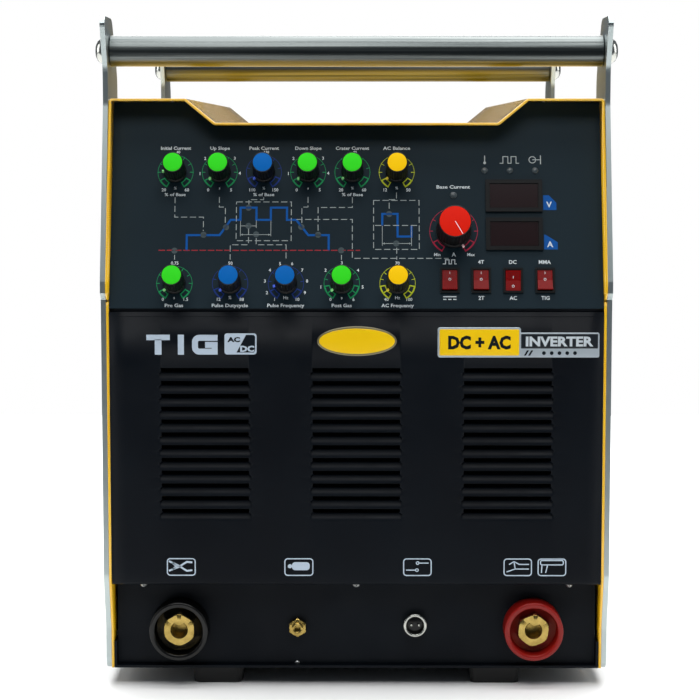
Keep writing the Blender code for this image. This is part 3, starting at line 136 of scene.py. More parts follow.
studio = bpy.data.worlds.new("studio")
studio.use_nodes = True
bpy.context.scene.world = studio
backdrop = studio.node_tree.nodes["Background"]
seen = add_node(studio.node_tree, "ShaderNodeLightPath")
camera_ray = [("Factor", seen.outputs["Is Camera Ray"])]
dim = add_node(studio.node_tree, "ShaderNodeMix", camera_ray, data_type="RGBA")
dim.inputs[6].default_value = linear("565c62")
dim.inputs[7].default_value = linear("ffffff")
studio.node_tree.links.new(dim.outputs[2], backdrop.inputs["Color"])

softboxes = {
    "overhead": ((0.0, 0.35, 2.6), 3.0, 2.6, 120),
    "front_high": ((0.0, -2.3, 2.7), 2.6, 1.3, 46),
    "left": ((-2.6, -0.2, 1.2), 1.2, 2.0, 24),
    "right": ((2.6, -0.2, 1.2), 1.2, 2.0, 24),
    "behind": ((0.0, 3.0, 2.2), 2.6, 1.6, 50),
}
for name, (place, width, height, power) in softboxes.items():
    light = bpy.data.lights.new("softbox_" + name, "AREA")
    light.shape = "RECTANGLE"
    light.size = width
    light.size_y = height
    light.energy = power
    box = bpy.data.objects.new("softbox_" + name, light)
    box.location = place
    box.rotation_euler = (Vector((0, 0, 0.25)) - Vector(place)).to_track_quat("-Z", "Y").to_euler()
    bpy.context.scene.collection.objects.link(box)


# ---- Yellow cover ----
# Two-millimetre steel sheet folded over both sides and the top, enamelled glossy yellow.
# Its sides carry pressed louvres, and its front edge stands proud of the control panel as a brow.

MM = 0.001


def noise_bump(tree, shader, size, depth):
    """Roughens a surface with noise whose lumps are size across and depth high."""
    where = add_node(tree, "ShaderNodeTexCoord")
    lumps = [("Vector", where.outputs["Object"])]
    noise = add_node(tree, "ShaderNodeTexNoise", lumps, Scale=1 / size, Detail=3.0)
    bump = add_node(tree, "ShaderNodeBump", [("Height", noise.outputs["Fac"])], Distance=depth)
    tree.links.new(bump.outputs["Normal"], shader.inputs["Normal"])


def noise_between(tree, socket, low, high, size):
    """Drives an input between two values, or two hex colours, by soft noise whose patches are size across."""
    where = add_node(tree, "ShaderNodeTexCoord")
    patches = [("Vector", where.outputs["Object"])]
    noise = add_node(tree, "ShaderNodeTexNoise", patches, Scale=1 / size, Detail=4.0)
    if isinstance(low, str):
        ramp = add_node(tree, "ShaderNodeValToRGB", [("Fac", noise.outputs["Fac"])])
        ramp.color_ramp.elements[0].position = 0.35
        ramp.color_ramp.elements[1].position = 0.65
        ramp.color_ramp.elements[0].color = linear(low)
        ramp.color_ramp.elements[1].color = linear(high)
        tree.links.new(ramp.outputs["Color"], socket)
        return
    heights = [("Value", noise.outputs["Fac"])]
    span = {"From_Min": 0.3, "From_Max": 0.7, "To_Min": low, "To_Max": high}
    spread = add_node(tree, "ShaderNodeMapRange", heights, **span)
    tree.links.new(spread.outputs["Result"], socket)


# Stoved enamel: a smooth gloss with a faint orange peel about 2 mm across.
yellow_enamel, tree, shader = new_material(
    "stoved_yellow_enamel", Roughness=0.28, Coat_Weight=1.0, Coat_Roughness=0.08
)
noise_between(tree, shader.inputs["Base Color"], "f3b90c", "f8c415", 60 * MM)
noise_bump(tree, shader, 2 * MM, 0.02 * MM)


def piece(name, mesh, material, body, slot, *stands_for, sharp=40):
    """Makes a mesh a piece of the machine, riding on a body; edges past this many degrees stay sharp."""
    mesh.polygons.foreach_set("use_smooth", [True] * len(mesh.polygons))
    mesh.set_sharp_from_angle(angle=math.radians(sharp))
    made = bpy.data.objects.new(name, mesh)
    bpy.context.scene.collection.objects.link(made)
    mesh.materials.append(material)
    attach(made, body)
    if stands_for:
        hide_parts(*stands_for)
    return made


def solidify(made, thickness):
    """Gives a sheet its thickness behind its outer face."""
    wall = made.modifiers.new("sheet", "SOLIDIFY")
    wall.thickness = thickness
    wall.offset = -1


def weld(mesh, distance=1e-6):
    """Joins points that lie on each other."""
    built = bmesh.new()
    built.from_mesh(mesh)
    bmesh.ops.remove_doubles(built, verts=built.verts, dist=distance)
    built.to_mesh(mesh)
    built.free()
    return mesh


def smooth_step(value):
    """0 below 0, 1 above 1, and an S-shaped rise between."""
    clipped = np.clip(value, 0, 1)
    return clipped * clipped * (3 - 2 * clipped)


def louvre_press(across, down, half_width, height, depth):
    """How far a louvre is pressed in, at a distance across its middle and down from its slit.

    It is deepest at the slit and falls with the square of the distance down.
    Its ends close in a short ramp that is wider below the slit than at it.
    """
    share = np.clip(down / height, 0, 1)
    reach = half_width * (0.94 + 0.06 * np.clip(share * 4, 0, 1))
    ends = smooth_step((reach - np.abs(across)) / (0.06 * half_width))
    return depth * (1 - share) ** 2 * ends


def spaced(edges, steps):
    """Runs through these edges with this many even steps between each pair."""
    parts = [np.linspace(a, b, n + 1)[:-1] for a, b, n in zip(edges, edges[1:], steps)]
    return np.concatenate(parts + [edges[-1:]])


cover_low, cover_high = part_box("cover")
half_width = cover_high.x
shoulder = cover_high.z
panel_axis = Vector(next(j["axis"] for j in frame["joints"] if j["name"] == "base_current_turn"))
big_knob_seat = Vector(next(j["pos_m"] for j in frame["joints"] if j["name"] == "base_current_turn"))
panel_up = Vector((0, panel_axis.z, -panel_axis.y))
bend = big_knob_seat + panel_up * ((face_y - big_knob_seat.y) / panel_up.y)
bend.x = 0
COVER_SHEET = 2 * MM
TROUGH_DEPTH = 19.5 * MM
TROUGH_HALF = 138 * MM
TROUGH_FLOOR_HALF = 114 * MM
FOLD_RADIUS = 3 * MM


def rounded_path(points, radius, steps=6):
    """An open path of (a, b) points whose inner corners are arcs of one radius."""
    path = [np.array(points[0], float)]
    for before, corner, after in zip(points, points[1:], points[2:]):
        corner = np.array(corner, float)
        back = np.array(before, float) - corner
        ahead = np.array(after, float) - corner
        back_unit, ahead_unit = back / np.linalg.norm(back), ahead / np.linalg.norm(ahead)
        half = math.acos(np.clip(back_unit @ ahead_unit, -1, 1)) / 2
        middle = back_unit + ahead_unit
        if np.linalg.norm(middle) < 1e-6:
            path.append(corner)
            continue
        centre = corner + middle / np.linalg.norm(middle) * radius / math.sin(half)
        start = corner + back_unit * radius / math.tan(half) - centre
        end = corner + ahead_unit * radius / math.tan(half) - centre
        for share in np.linspace(0, 1, steps + 1):
            spoke = start * (1 - share) + end * share
            path.append(centre + spoke / np.linalg.norm(spoke) * radius)
    path.append(np.array(points[-1], float))
    return np.array(path)


# The front edge, as (height, depth behind the louvred face): toe, slant, upright, notch at the bend, brow.
BROW_FOOT = bend.z + 9 * MM
edge_height = [cover_low.z, 49 * MM, 92 * MM]
edge_height += [BROW_FOOT - 2.2 * MM, BROW_FOOT - 2.1 * MM, BROW_FOOT - 0.1 * MM]
edge_depth = [12.5 * MM, 12.5 * MM, 0, 0, 3.5 * MM, 3.5 * MM]
edge_height += [BROW_FOOT, BROW_FOOT + 5 * MM, BROW_FOOT + 14 * MM, shoulder]
edge_depth += [0, -5 * MM, -5 * MM, 33 * MM]


def front_edge(height):
    """Where the cover and the frames end at the front, as a depth behind the louvred face."""
    return np.interp(height, edge_height, edge_depth)


VENT_HALF = 60 * MM
VENT_STEP = 170 * MM
VENT_PITCH = 16 * MM
VENT_PRESS = 11 * MM
VENT_DEPTH = 4 * MM
window_low, window_high = 71.5 * MM, 420 * MM
window_middle = face_y + (59 * MM + 550 * MM) / 2
vent_rows = 1 + int((window_high - window_low - 120 * MM) / VENT_PITCH)
first_vent = (window_high + window_low + (vent_rows - 1) * VENT_PITCH) / 2 + 2 * MM


def cover_rows():
    """Heights up a side of the cover, two at each louvre's slit, and each one's distance below its slit."""
    heights = [cover_low.z, *edge_height[1:3]]
    downs = [VENT_PRESS] * len(heights)
    for row in reversed(range(vent_rows)):
        slit = first_vent - row * VENT_PITCH
        for down in np.linspace(VENT_PRESS, 0, 9):
            heights.append(slit - down)
            downs.append(down)
        heights.append(slit)
        downs.append(VENT_PRESS)
    for mark in [*edge_height[3:9], shoulder - FOLD_RADIUS]:
        heights.append(mark)
        downs.append(VENT_PRESS)
    order = np.argsort(np.array(heights) * 1e6 + np.arange(len(heights)) * 1e-3, kind="stable")
    return np.array(heights)[order], np.array(downs)[order]


side_z, side_down = cover_rows()
top_path = rounded_path(
    [
        (-half_width, shoulder - 2 * FOLD_RADIUS),
        (-half_width, shoulder),
        (-TROUGH_HALF, shoulder),
        (-TROUGH_FLOOR_HALF, shoulder - TROUGH_DEPTH),
        (TROUGH_FLOOR_HALF, shoulder - TROUGH_DEPTH),
        (TROUGH_HALF, shoulder),
        (half_width, shoulder),
        (half_width, shoulder - 2 * FOLD_RADIUS),
    ],
    FOLD_RADIUS,
)[1:-1]
side_x = np.full(len(side_z), half_width)
path_x = np.concatenate([-side_x, top_path[1:-1, 0], side_x])
path_z = np.concatenate([side_z, top_path[1:-1, 1], side_z[::-1]])
path_down = np.concatenate([side_down, np.full(len(top_path) - 2, VENT_PRESS), side_down[::-1]])
outward = np.concatenate([np.full(len(side_z), -1.0), np.zeros(len(top_path) - 2), np.full(len(side_z), 1.0)])
rear_y = cover_high.y
vent_edges = []
for side in (-1, 1):
    middle = window_middle + side * VENT_STEP / 2
    vent_edges += [middle - VENT_HALF, middle - 0.9 * VENT_HALF, middle + 0.9 * VENT_HALF, middle + VENT_HALF]
run_y = spaced(
    np.array([face_y + 36 * MM, *vent_edges, rear_y]),
    [4, 7, 10, 7, 3, 7, 10, 7, 4],
)
front_y = face_y + front_edge(path_z)
run_rows = np.broadcast_to(run_y[None, :], (len(path_z), len(run_y)))
cover_y = np.concatenate([front_y[:, None], run_rows], axis=1)
press = np.zeros_like(cover_y)
for side in (-1, 1):
    across = cover_y - (window_middle + side * VENT_STEP / 2)
    press += louvre_press(across, path_down[:, None], VENT_HALF, VENT_PRESS, VENT_DEPTH)
cover_x = path_x[:, None] - outward[:, None] * press
cover_z = np.broadcast_to(path_z[:, None], cover_y.shape)
cover_mesh = weld(grid_mesh("cover_sheet", np.stack([cover_x, cover_y, cover_z], axis=-1)))
cover_sheet = piece("cover_sheet", cover_mesh, yellow_enamel, "case", "yellow_enamel", "cover", sharp=30)
solidify(cover_sheet, COVER_SHEET)

# ---- Front sheet ----
# Sheet steel with a black powder coat, bent once where the panel leans and once under the lip.
# Three columns of louvres are pressed inward, each with its slit along the top.

# Powder coat: satin, blue-black, with a fine peel under a millimetre across.
powder_coat, tree, shader = new_material("black_powder_coat", Specular_IOR_Level=0.12)
noise_between(tree, shader.inputs["Base Color"], "04080f", "070d14", 90 * MM)
noise_between(tree, shader.inputs["Roughness"], 0.42, 0.54, 25 * MM)
noise_bump(tree, shader, 0.8 * MM, 0.03 * MM)

LOUVRE_HALF = 38 * MM
LOUVRE_FLAT = 0.88 * LOUVRE_HALF
LOUVRE_STEP = 121.5 * MM
LOUVRE_PITCH = 10.38 * MM
LOUVRE_PRESS = 6.9 * MM
LOUVRE_DEPTH = 4.6 * MM
LOUVRE_ROWS = 12
LOUVRE_SLIT = 3.2 * MM
first_slit = bend.z - 46.0 * MM
LIP_HEIGHT = 86.5 * MM
LIP_DEPTH = 19 * MM
LIP_RADIUS = 2.5 * MM
FRONT_SHEET = 1.2 * MM
sheet_half = half_width - COVER_SHEET - 0.3 * MM

sheet_z, sheet_down, sheet_open = [], [], []
for row in reversed(range(LOUVRE_ROWS)):
    edge = first_slit - LOUVRE_SLIT - row * LOUVRE_PITCH
    downs = np.linspace(LOUVRE_PRESS, 0, 10)
    sheet_z += [*(edge - downs), edge + LOUVRE_SLIT]
    sheet_down += [*downs, LOUVRE_PRESS]
    sheet_open += [0] * 9 + [1, 0]
lip = rounded_path([(LIP_DEPTH, LIP_HEIGHT), (0, LIP_HEIGHT), (0, LIP_HEIGHT + 10 * MM)], LIP_RADIUS, 5)
sheet_top = bend.z - 1.0 * MM
face_z = np.concatenate([lip[:, 1], sheet_z, [sheet_top]])
face_depth = np.concatenate([lip[:, 0], np.zeros(len(sheet_z) + 1)])
face_down = np.concatenate([np.full(len(lip), LOUVRE_PRESS), sheet_down, [LOUVRE_PRESS]])
edges = [-sheet_half]
for column in (-1, 0, 1):
    middle = column * LOUVRE_STEP
    edges += [middle - LOUVRE_HALF, middle - LOUVRE_FLAT, middle + LOUVRE_FLAT, middle + LOUVRE_HALF]
edges.append(sheet_half)
sheet_x = spaced(np.array(edges), [3, 8, 8, 8, 4, 8, 8, 8, 4, 8, 8, 8, 3])
press = np.zeros((len(face_z), len(sheet_x)))
for column in (-1, 0, 1):
    across = sheet_x - column * LOUVRE_STEP
    press += louvre_press(across, face_down[:, None], LOUVRE_HALF, LOUVRE_PRESS, LOUVRE_DEPTH)
# A slit is open wherever both ends of its edge are pressed in by more than this.
OPEN_PRESS = 0.2 * MM
row_open = np.concatenate([np.zeros(len(lip)), sheet_open])[:, None]
slits = (row_open > 0) & (press[:-1, :-1] > OPEN_PRESS) & (press[:-1, 1:] > OPEN_PRESS)
face_points = np.stack(
    np.broadcast_arrays(sheet_x[None, :], face_y + face_depth[:, None] + press, face_z[:, None]), axis=-1
)
face_mesh = weld(grid_mesh("louvred_front", face_points[:, ::-1], holes=slits[:, ::-1]))
front_sheet = piece(
    "louvred_front", face_mesh, powder_coat, "case", "black_powder_coat", "front_panel", sharp=35
)
solidify(front_sheet, FRONT_SHEET)

# A flat black sheet without gloss behind each column of louvres: painted shade, so that the open slits look dark
# inside.
painted_shade_sheet = plain_material(
    "painted_shade_sheet", Base_Color=linear("060708"), Roughness=0.9, Specular_IOR_Level=0.0
)
SHADE_SHEET_DEPTH = 9 * MM
shade_sheet_z = np.array([first_slit + 6 * MM, first_slit - LOUVRE_ROWS * LOUVRE_PITCH - 2 * MM])[:, None]
for word, column in (("left", -1), ("middle", 0), ("right", 1)):
    shade_sheet_x = (column * LOUVRE_STEP + np.array([-1, 1]) * (LOUVRE_HALF + 3 * MM))[None, :]
    shade_sheet = np.stack(np.broadcast_arrays(shade_sheet_x, face_y + SHADE_SHEET_DEPTH, shade_sheet_z), axis=-1)
    piece("louvre_shade_sheet_" + word, grid_mesh("louvre_shade_sheet", shade_sheet), painted_shade_sheet, "case", "black_powder_coat")


def on_panel(x, s, h):
    """Points of the leaning panel, from arrays or numbers of x, s and h, as an array ending in 3."""
    x, s, h = np.broadcast_arrays(np.asarray(x, float), s, h)
    return (
        x[..., None] * np.array([1.0, 0, 0])
        + s[..., None] * np.array(panel_up)
        + h[..., None] * np.array(panel_axis)
        + np.array(bend)
    )


# The leaning half of the same sheet lies behind the fascia, with a window for each switch and meter.
SHEET_BACK = -1.3 * MM
ROCKER_X = {"pulse": 74.8 * MM, "trigger": 99.9 * MM, "current": 125.5 * MM, "process": 151.0 * MM}
ROCKER_S = 24.8 * MM
METER_X = 127.0 * MM
METER_S = {"meter_voltage": 95.0 * MM, "meter_current": 63.2 * MM}
windows = [(x, ROCKER_S, 7.3 * MM, 9.3 * MM) for x in ROCKER_X.values()]
windows += [(METER_X, s, 20.3 * MM, 10.8 * MM) for s in METER_S.values()]
line_x = np.unique(np.concatenate([[-sheet_half, sheet_half]] + [[x - a, x + a] for x, s, a, b in windows]))
line_s = np.unique(np.concatenate([[-4.3 * MM, 146 * MM]] + [[s - b, s + b] for x, s, a, b in windows]))
middle_x = ((line_x[1:] + line_x[:-1]) / 2)[None, ::-1]
middle_s = ((line_s[1:] + line_s[:-1]) / 2)[:, None]
cut = np.zeros((len(line_s) - 1, len(line_x) - 1), bool)
for x, s, a, b in windows:
    cut |= (np.abs(middle_x - x) < a) & (np.abs(middle_s - s) < b)
leaning = grid_mesh("leaning_sheet", on_panel(line_x[None, ::-1], line_s[:, None], SHEET_BACK), holes=cut)
leaning = piece("leaning_sheet", leaning, powder_coat, "case", "black_powder_coat", "front_panel")
solidify(leaning, FRONT_SHEET)


def dress(material, *nodes):
    """Gives CAD pieces their finish."""
    for node in nodes:
        made = frame["nodes"][node]
        made.data.materials.clear()
        made.data.materials.append(material)


dress(powder_coat, "connector_panel", "base_pan", "rear_panel")

# ---- Control fascia ----
# A blue-grey polyester film over the leaning sheet, screen-printed from the front.
# It carries the scales, the names, and a diagram of the welding current through one weld.

# Printed film: satin, slightly textured.
fascia_film, tree, shader = new_material(
    "satin_fascia_film", Base_Color=linear("17262e"), Roughness=0.5, Specular_IOR_Level=0.1
)
noise_bump(tree, shader, 0.5 * MM, 0.01 * MM)
dress(fascia_film, "control_fascia")

prints = {}


def add_print(ink, points, faces):
    """Keeps a flat shape, points by 2 and its faces, to be printed in an ink."""
    prints.setdefault(ink, []).append((np.asarray(points, float), [list(face) for face in faces]))


def line(ink, points, width, closed=False):
    """A line with mitred corners: each lies on its bisector, half the width over the half angle's cosine away."""
    points = np.asarray(points, float)
    ahead = np.roll(points, -1, axis=0) - points
    ahead /= np.maximum(np.linalg.norm(ahead, axis=1, keepdims=True), 1e-12)
    behind = np.roll(ahead, 1, axis=0)
    if not closed:
        ahead[-1] = ahead[-2]
        behind[0] = ahead[0]
    normal = np.stack([-(ahead + behind)[:, 1], (ahead + behind)[:, 0]], axis=1)
    normal /= np.maximum((normal**2).sum(axis=1, keepdims=True) / 2, 1e-9)
    left, right = points + normal * width / 2, points - normal * width / 2
    count = len(points)
    steps = range(count if closed else count - 1)
    faces = [(at, count + at, count + (at + 1) % count, (at + 1) % count) for at in steps]
    add_print(ink, np.concatenate([left, right]), faces)


def dashes(ink, points, width, on, off):
    """A broken line: the path is cut by its length into dashes of one length with gaps of another."""
    points = np.asarray(points, float)
    reach = np.concatenate([[0], np.cumsum(np.linalg.norm(np.diff(points, axis=0), axis=1))])
    for begin in np.arange(0, reach[-1] - 0.3, on + off):
        end = min(begin + on, reach[-1])
        marks = np.concatenate([[begin], reach[(reach > begin + 1e-6) & (reach < end - 1e-6)], [end]])
        line(ink, np.stack([np.interp(marks, reach, points[:, axis]) for axis in (0, 1)], axis=1), width)


def arc(ink, middle, inner, outer, start, end, steps):
    """Part of a ring between two radii and two clock angles, in degrees clockwise from the top."""
    turns = np.radians(np.linspace(start, end, steps + 1))
    rim = np.stack([np.sin(turns), np.cos(turns)], axis=1)
    points = np.concatenate([rim * outer, rim * inner]) + np.asarray(middle, float)
    count = steps + 1
    add_print(ink, points, [(at, at + 1, count + at + 1, count + at) for at in range(steps)])


DISC_SIDES = 24


def disc(ink, middle, radius):
    """A round dot."""
    turns = np.linspace(2 * math.pi, 0, DISC_SIDES, endpoint=False)
    rim = np.stack([np.sin(turns), np.cos(turns)], axis=1)
    add_print(ink, np.asarray(middle) + radius * rim, [range(DISC_SIDES)])


def patch(ink, points):
    """A filled outline, given counter-clockwise."""
    add_print(ink, points, [range(len(points))])


# The height of the lettering's capitals, as a share of its size.
CAPITAL = 0.69


def letters(ink, words, middle, height, width=None, bold=0.02):
    """Sets a word with capitals of one height, centred, and drawn out or in to a width if one is given."""
    curve = bpy.data.curves.new("lettering", "FONT")
    curve.body = words
    curve.offset = bold
    curve.resolution_u = 2
    setting = bpy.data.objects.new("lettering", curve)
    mesh = bpy.data.meshes.new_from_object(setting)
    flat = np.zeros(len(mesh.vertices) * 3)
    mesh.vertices.foreach_get("co", flat)
    flat = flat.reshape(-1, 3)[:, :2]
    faces = [face.vertices[:] for face in mesh.polygons]
    bpy.data.objects.remove(setting)
    bpy.data.curves.remove(curve)
    bpy.data.meshes.remove(mesh)
    low, high = flat.min(axis=0), flat.max(axis=0)
    scale = height / CAPITAL
    across = scale if width is None else width / (high[0] - low[0])
    flat = (flat - [(low[0] + high[0]) / 2, CAPITAL / 2]) * [across, scale]
    add_print(ink, flat + np.asarray(middle, float), faces)


# Everything printed is laid out in millimetres: x to the right and s up from the bend.
WHITE, BLUE, RED = "white", "blue", "red"
BAND = {"green": "green", "blue": "deep_blue", "yellow": "yellow_green", "red": "crimson"}
TOP_ROW, BOTTOM_ROW = 115.0, 22.5


def knob_scale(ink, x, s, inner, outer, ticks):
    """A knob's scale: an outer arc from seven to five o'clock, radial ticks, and boxed cells at the ends."""
    arc(ink, (x, s), outer - 0.35, outer, 210, 510, 60)
    turns = np.linspace(210, 510, ticks + 1)
    boxed = 1 if ticks <= 10 else 2
    for begin, end in ((0, boxed), (ticks - boxed, ticks)):
        arc(ink, (x, s), outer - 1.0, outer + 0.2, turns[begin], turns[end], 12)
        arc(ink, (x, s), inner, inner + 0.8, turns[begin], turns[end], 12)
    for number, turn in enumerate(turns):
        way = np.array([math.sin(math.radians(turn)), math.cos(math.radians(turn))])
        ends = number <= boxed or number >= ticks - boxed
        reach = inner if ends else inner + 2.0
        tick = np.array([x, s]) + np.outer([reach, outer + 0.2], way)
        line(ink, tick, 0.9 if ends else 0.5)


knobs = {
    "initial_current": ("green", -146.5, TOP_ROW, 10),
    "up_slope": ("green", -110.7, TOP_ROW, 10),
    "peak_current": ("blue", -74.9, TOP_ROW, 8),
    "down_slope": ("green", -39.1, TOP_ROW, 10),
    "crater_current": ("green", -3.3, TOP_ROW, 8),
    "ac_balance": ("yellow", 32.5, TOP_ROW, 10),
    "pre_gas": ("green", -145.8, BOTTOM_ROW, 10),
    "pulse_width": ("blue", -101.1, BOTTOM_ROW, 8),
    "pulse_frequency": ("blue", -56.4, BOTTOM_ROW, 9),
    "post_gas": ("green", -11.7, BOTTOM_ROW, 12),
    "ac_frequency": ("yellow", 33.0, BOTTOM_ROW, 12),
}
for colour, x, s, ticks in knobs.values():
    knob_scale(BAND[colour], x, s, 9.6, 14.4, ticks)
knob_scale(BAND["red"], 78.2, 65.8, 14.6, 19.4, 10)

SMALL, LABEL = 2.5, 2.7
top_words = ["Initial Current", "Up Slope", "Peak Current", "Down Slope", "Crater Current", "AC Balance"]
top_widths = [24.4, 15.9, 23.9, 21.3, 27.0, 22.0]
top_ends = [("20", "60"), ("0", "5"), ("110", "150"), ("0", "5"), ("20", "60"), ("12", "50")]
for number, (words, (low, high)) in enumerate(zip(top_words, top_ends)):
    x = -146.5 + 35.8 * number
    unit = "s" if number in (1, 3) else "%"
    letters(WHITE, words, (x, 135.3), LABEL, top_widths[number])
    letters(WHITE, low, (x - 9.2, 100.2), SMALL)
    letters(WHITE, high, (x + 9.4, 100.2), SMALL)
    letters(WHITE, unit, (x, 101.7), SMALL - 0.3)
    if number in (0, 2, 4):
        letters(WHITE, "% of Base", (x, 96.3), SMALL, 17.0)
        letters(WHITE, "130" if number == 2 else "40", (x + 2, 132.0), SMALL - 0.4)
    if number in (1, 3):
        for mark, dx, s in (("1", -16.0, 113.9), ("2", -12.0, 126.7), ("3", 12.0, 126.8), ("4", 16.2, 114.2)):
            letters(WHITE, mark, (x + dx, s), SMALL)
bottom_words = ["Pre Gas", "Pulse Dutycycle", "Pulse Frequency", "Post Gas", "AC Frequency"]
bottom_widths = [14.7, 28.9, 29.6, 16.0, 26.0]
bottom_ends = [("0", "1.5"), ("12", "88"), ("1", "10"), ("0", "6"), ("40", "100")]
for number, (words, (low, high)) in enumerate(zip(bottom_words, bottom_ends)):
    x = -145.8 + 44.7 * number
    letters(WHITE, words, (x, 4.4), LABEL, bottom_widths[number])
    letters(WHITE, low, (x - 9.0, 9.4), SMALL)
    letters(WHITE, high, (x + 9.4, 9.4), SMALL)
    letters(WHITE, ["s", "%", "Hz", "s", "Hz"][number], (x, 10.8), SMALL)
    if number in (0, 1, 4):
        letters(WHITE, {0: "0.75", 1: "50", 4: "70"}[number], (x, 39.2), SMALL)
for words, x, s, count, middle in (("23456789", -56.4, BOTTOM_ROW, 9, 1), ("12345", -11.7, BOTTOM_ROW, 6, 1)):
    for at, mark in enumerate(words):
        turn = math.radians(210 + 300 * (at + 1) / count)
        letters(WHITE, mark, (x + 17.0 * math.sin(turn), s + 17.0 * math.cos(turn)), SMALL)

# The weld's current from start to end: up in steps, pulsed between peak and base, and down again.
weld_current = [(-136.5, 49.8), (-136.5, 62.4), (-110.1, 62.4), (-101.4, 75.1), (-93.5, 75.1), (-93.5, 85.3)]
weld_current += [(-80.6, 85.3), (-80.6, 75.1), (-69, 75.1), (-69, 85.3), (-56, 85.3), (-56, 75.1)]
weld_current += [(-48.5, 75.1), (-38.7, 62.4), (-22.3, 62.4), (-22.3, 49.8)]
dashes(RED, [(-159, 49.8), (3, 49.8)], 0.8, 5.2, 1.4)
line(BLUE, weld_current, 1.7)
line(BLUE, [(20.8, 70.5), (20.8, 80.1), (33.1, 80.1), (33.1, 61.3), (44.3, 61.3), (44.3, 70.1)], 1.7)
leads = [
    [(-146.5, 94), (-146.5, 77.4), (-123.3, 77.4), (-123.3, 66)],
    [(-110.7, 94.3), (-110.7, 85.8), (-105.7, 85.8), (-105.7, 72)],
    [(-74.9, 94), (-74.9, 92), (-86.8, 92), (-86.8, 88)],
    [(-39.1, 94.3), (-39.1, 85.8), (-44, 85.8), (-44, 72)],
    [(-3.3, 94), (-3.3, 85.5), (-30.9, 85.5), (-30.9, 66)],
    [(32.3, 98), (32.3, 92), (26.4, 92), (26.4, 83)],
    [(32.4, 52), (32.4, 42)],
    [(-80.6, 60), (-80.6, 54.4), (-56.5, 54.4), (-56.5, 42)],
    [(-86.8, 68), (-86.8, 54.4), (-101.4, 54.4), (-101.4, 42)],
    [(-146, 46), (-146, 42)],
    [(-12, 46), (-12, 42)],
    [(-48.5, 75.5), (-3.3, 75.5), (-3.3, 43.2), (74, 43.2)],
    [(-96.8, 90.1), (-52.5, 90.1), (-52.5, 57.8), (-96.8, 57.8), (-96.8, 90.1)],
    [(13.8, 91.4), (50.5, 91.4), (50.5, 50.6), (13.8, 50.6), (13.8, 91.4)],
    [(15, 70.5), (50, 70.5)],
]
for lead in leads:
    dashes(WHITE + "_line", lead, 0.6, 5.0, 2.2)
for span in (
    [(-93.4, 70.1), (-80.9, 70.1)],
    [(-93.3, 62.8), (-68.9, 62.8)],
    [(20.8, 55.5), (44.3, 55.5)],
    [(-93.4, 75), (-93.4, 61.5)],
    [(-80.7, 75), (-80.7, 68.5)],
    [(-68.9, 75), (-68.9, 61.5)],
    [(20.8, 70), (20.8, 53.5)],
    [(44.3, 70), (44.3, 53.5)],
):
    line(WHITE + "_line", span, 0.45)
for (ax, s), (bx, _) in (((-93.4, 62.8), (-68.9, 62.8)), ((20.8, 55.5), (44.3, 55.5))):
    patch(WHITE + "_line", [(ax, s), (ax + 2, s - 0.8), (ax + 2, s + 0.8)])
    patch(WHITE + "_line", [(bx, s), (bx - 2, s + 0.8), (bx - 2, s - 0.8)])
joins = [(-123.1, 62.7), (-105, 69), (-87, 85.2), (-86.9, 70.1), (-80.7, 63.1), (-44.4, 69.3), (-30.8, 62.7)]
joins += [(-146.2, 49.5), (-12.2, 49.8), (26.4, 80.1), (32, 55.5)]
for join in joins:
    disc("dot_grey", join, 2.5)

# Right-hand side: base current, the lamps' signs and the switches' names.
letters(WHITE, "Base Current", (78.2, 102.7), LABEL, 27.0)
for words, x in (("Min", 64.9), ("A", 78.2), ("Max", 92.0)):
    letters(WHITE, words, (x, 46.4), 3.2 if words == "A" else SMALL)
SIGN_GREY = "icon_grey"
line(SIGN_GREY, [(103.8, 129.0), (103.8, 123.6)], 0.8)
disc(SIGN_GREY, (103.8, 122.9), 1.1)
pulse = [(0, 0), (2.6, 0), (2.6, 5.6), (6.6, 5.6), (6.6, 0)]
pulse += [(9.2, 0), (9.2, 5.6), (13.2, 5.6), (13.2, 0), (15.6, 0)]
line(SIGN_GREY, [(116 + a, 122.6 + b) for a, b in pulse], 0.6)
arc(SIGN_GREY, (142.4, 125.5), 2.4, 3.0, 0, 360, 24)
line(SIGN_GREY, [(142.4, 125.5), (148.4, 125.5)], 0.6)
line(SIGN_GREY, [(149.0, 121.8), (149.0, 129.2)], 0.7)
small_pulse = [(-5.4, 0), (-3.2, 0), (-3.2, 3.4), (-0.4, 3.4), (-0.4, 0)]
small_pulse += [(1.6, 0), (1.6, 3.4), (4.2, 3.4), (4.2, 0), (5.8, 0)]
line(WHITE, [(74.7 + a, 38.6 + b) for a, b in small_pulse], 0.7)
line(WHITE, [(69.4, 11.6), (80.0, 11.6)], 0.8)
dashes(WHITE, [(69.4, 9.4), (80.0, 9.4)], 0.8, 2.6, 1.4)
for upper, lower, x in (("4T", "2T", 100), ("DC", "AC", 125.4), ("MMA", "TIG", 151.1)):
    letters(WHITE, upper, (x, 40.2), 3.0)
    letters(WHITE, lower, (x, 10.6), 3.0)
patch("tag_blue", [(150.6, 83.4), (161.2, 83.4), (161.2, 89.4), (155.2, 95.7), (150.6, 95.7)])
patch("tag_blue", [(150.8, 50.6), (161.7, 50.6), (161.7, 56.6), (151.9, 62.9), (150.8, 62.9)])

inks = {
    "white": ("dbe3e6", 0.45),
    "white_line": ("aab3b3", 0.5),
    "icon_grey": ("b4bcbd", 0.45),
    "blue": ("0457a8", 0.45),
    "red": ("a5303a", 0.5),
    "green": ("1e9a5c", 0.45),
    "deep_blue": ("1f3a86", 0.45),
    "yellow_green": ("c3cf2a", 0.45),
    "crimson": ("b32a48", 0.45),
    "dot_grey": ("4b575b", 0.5),
    "tag_blue": ("0a529e", 0.45),
}


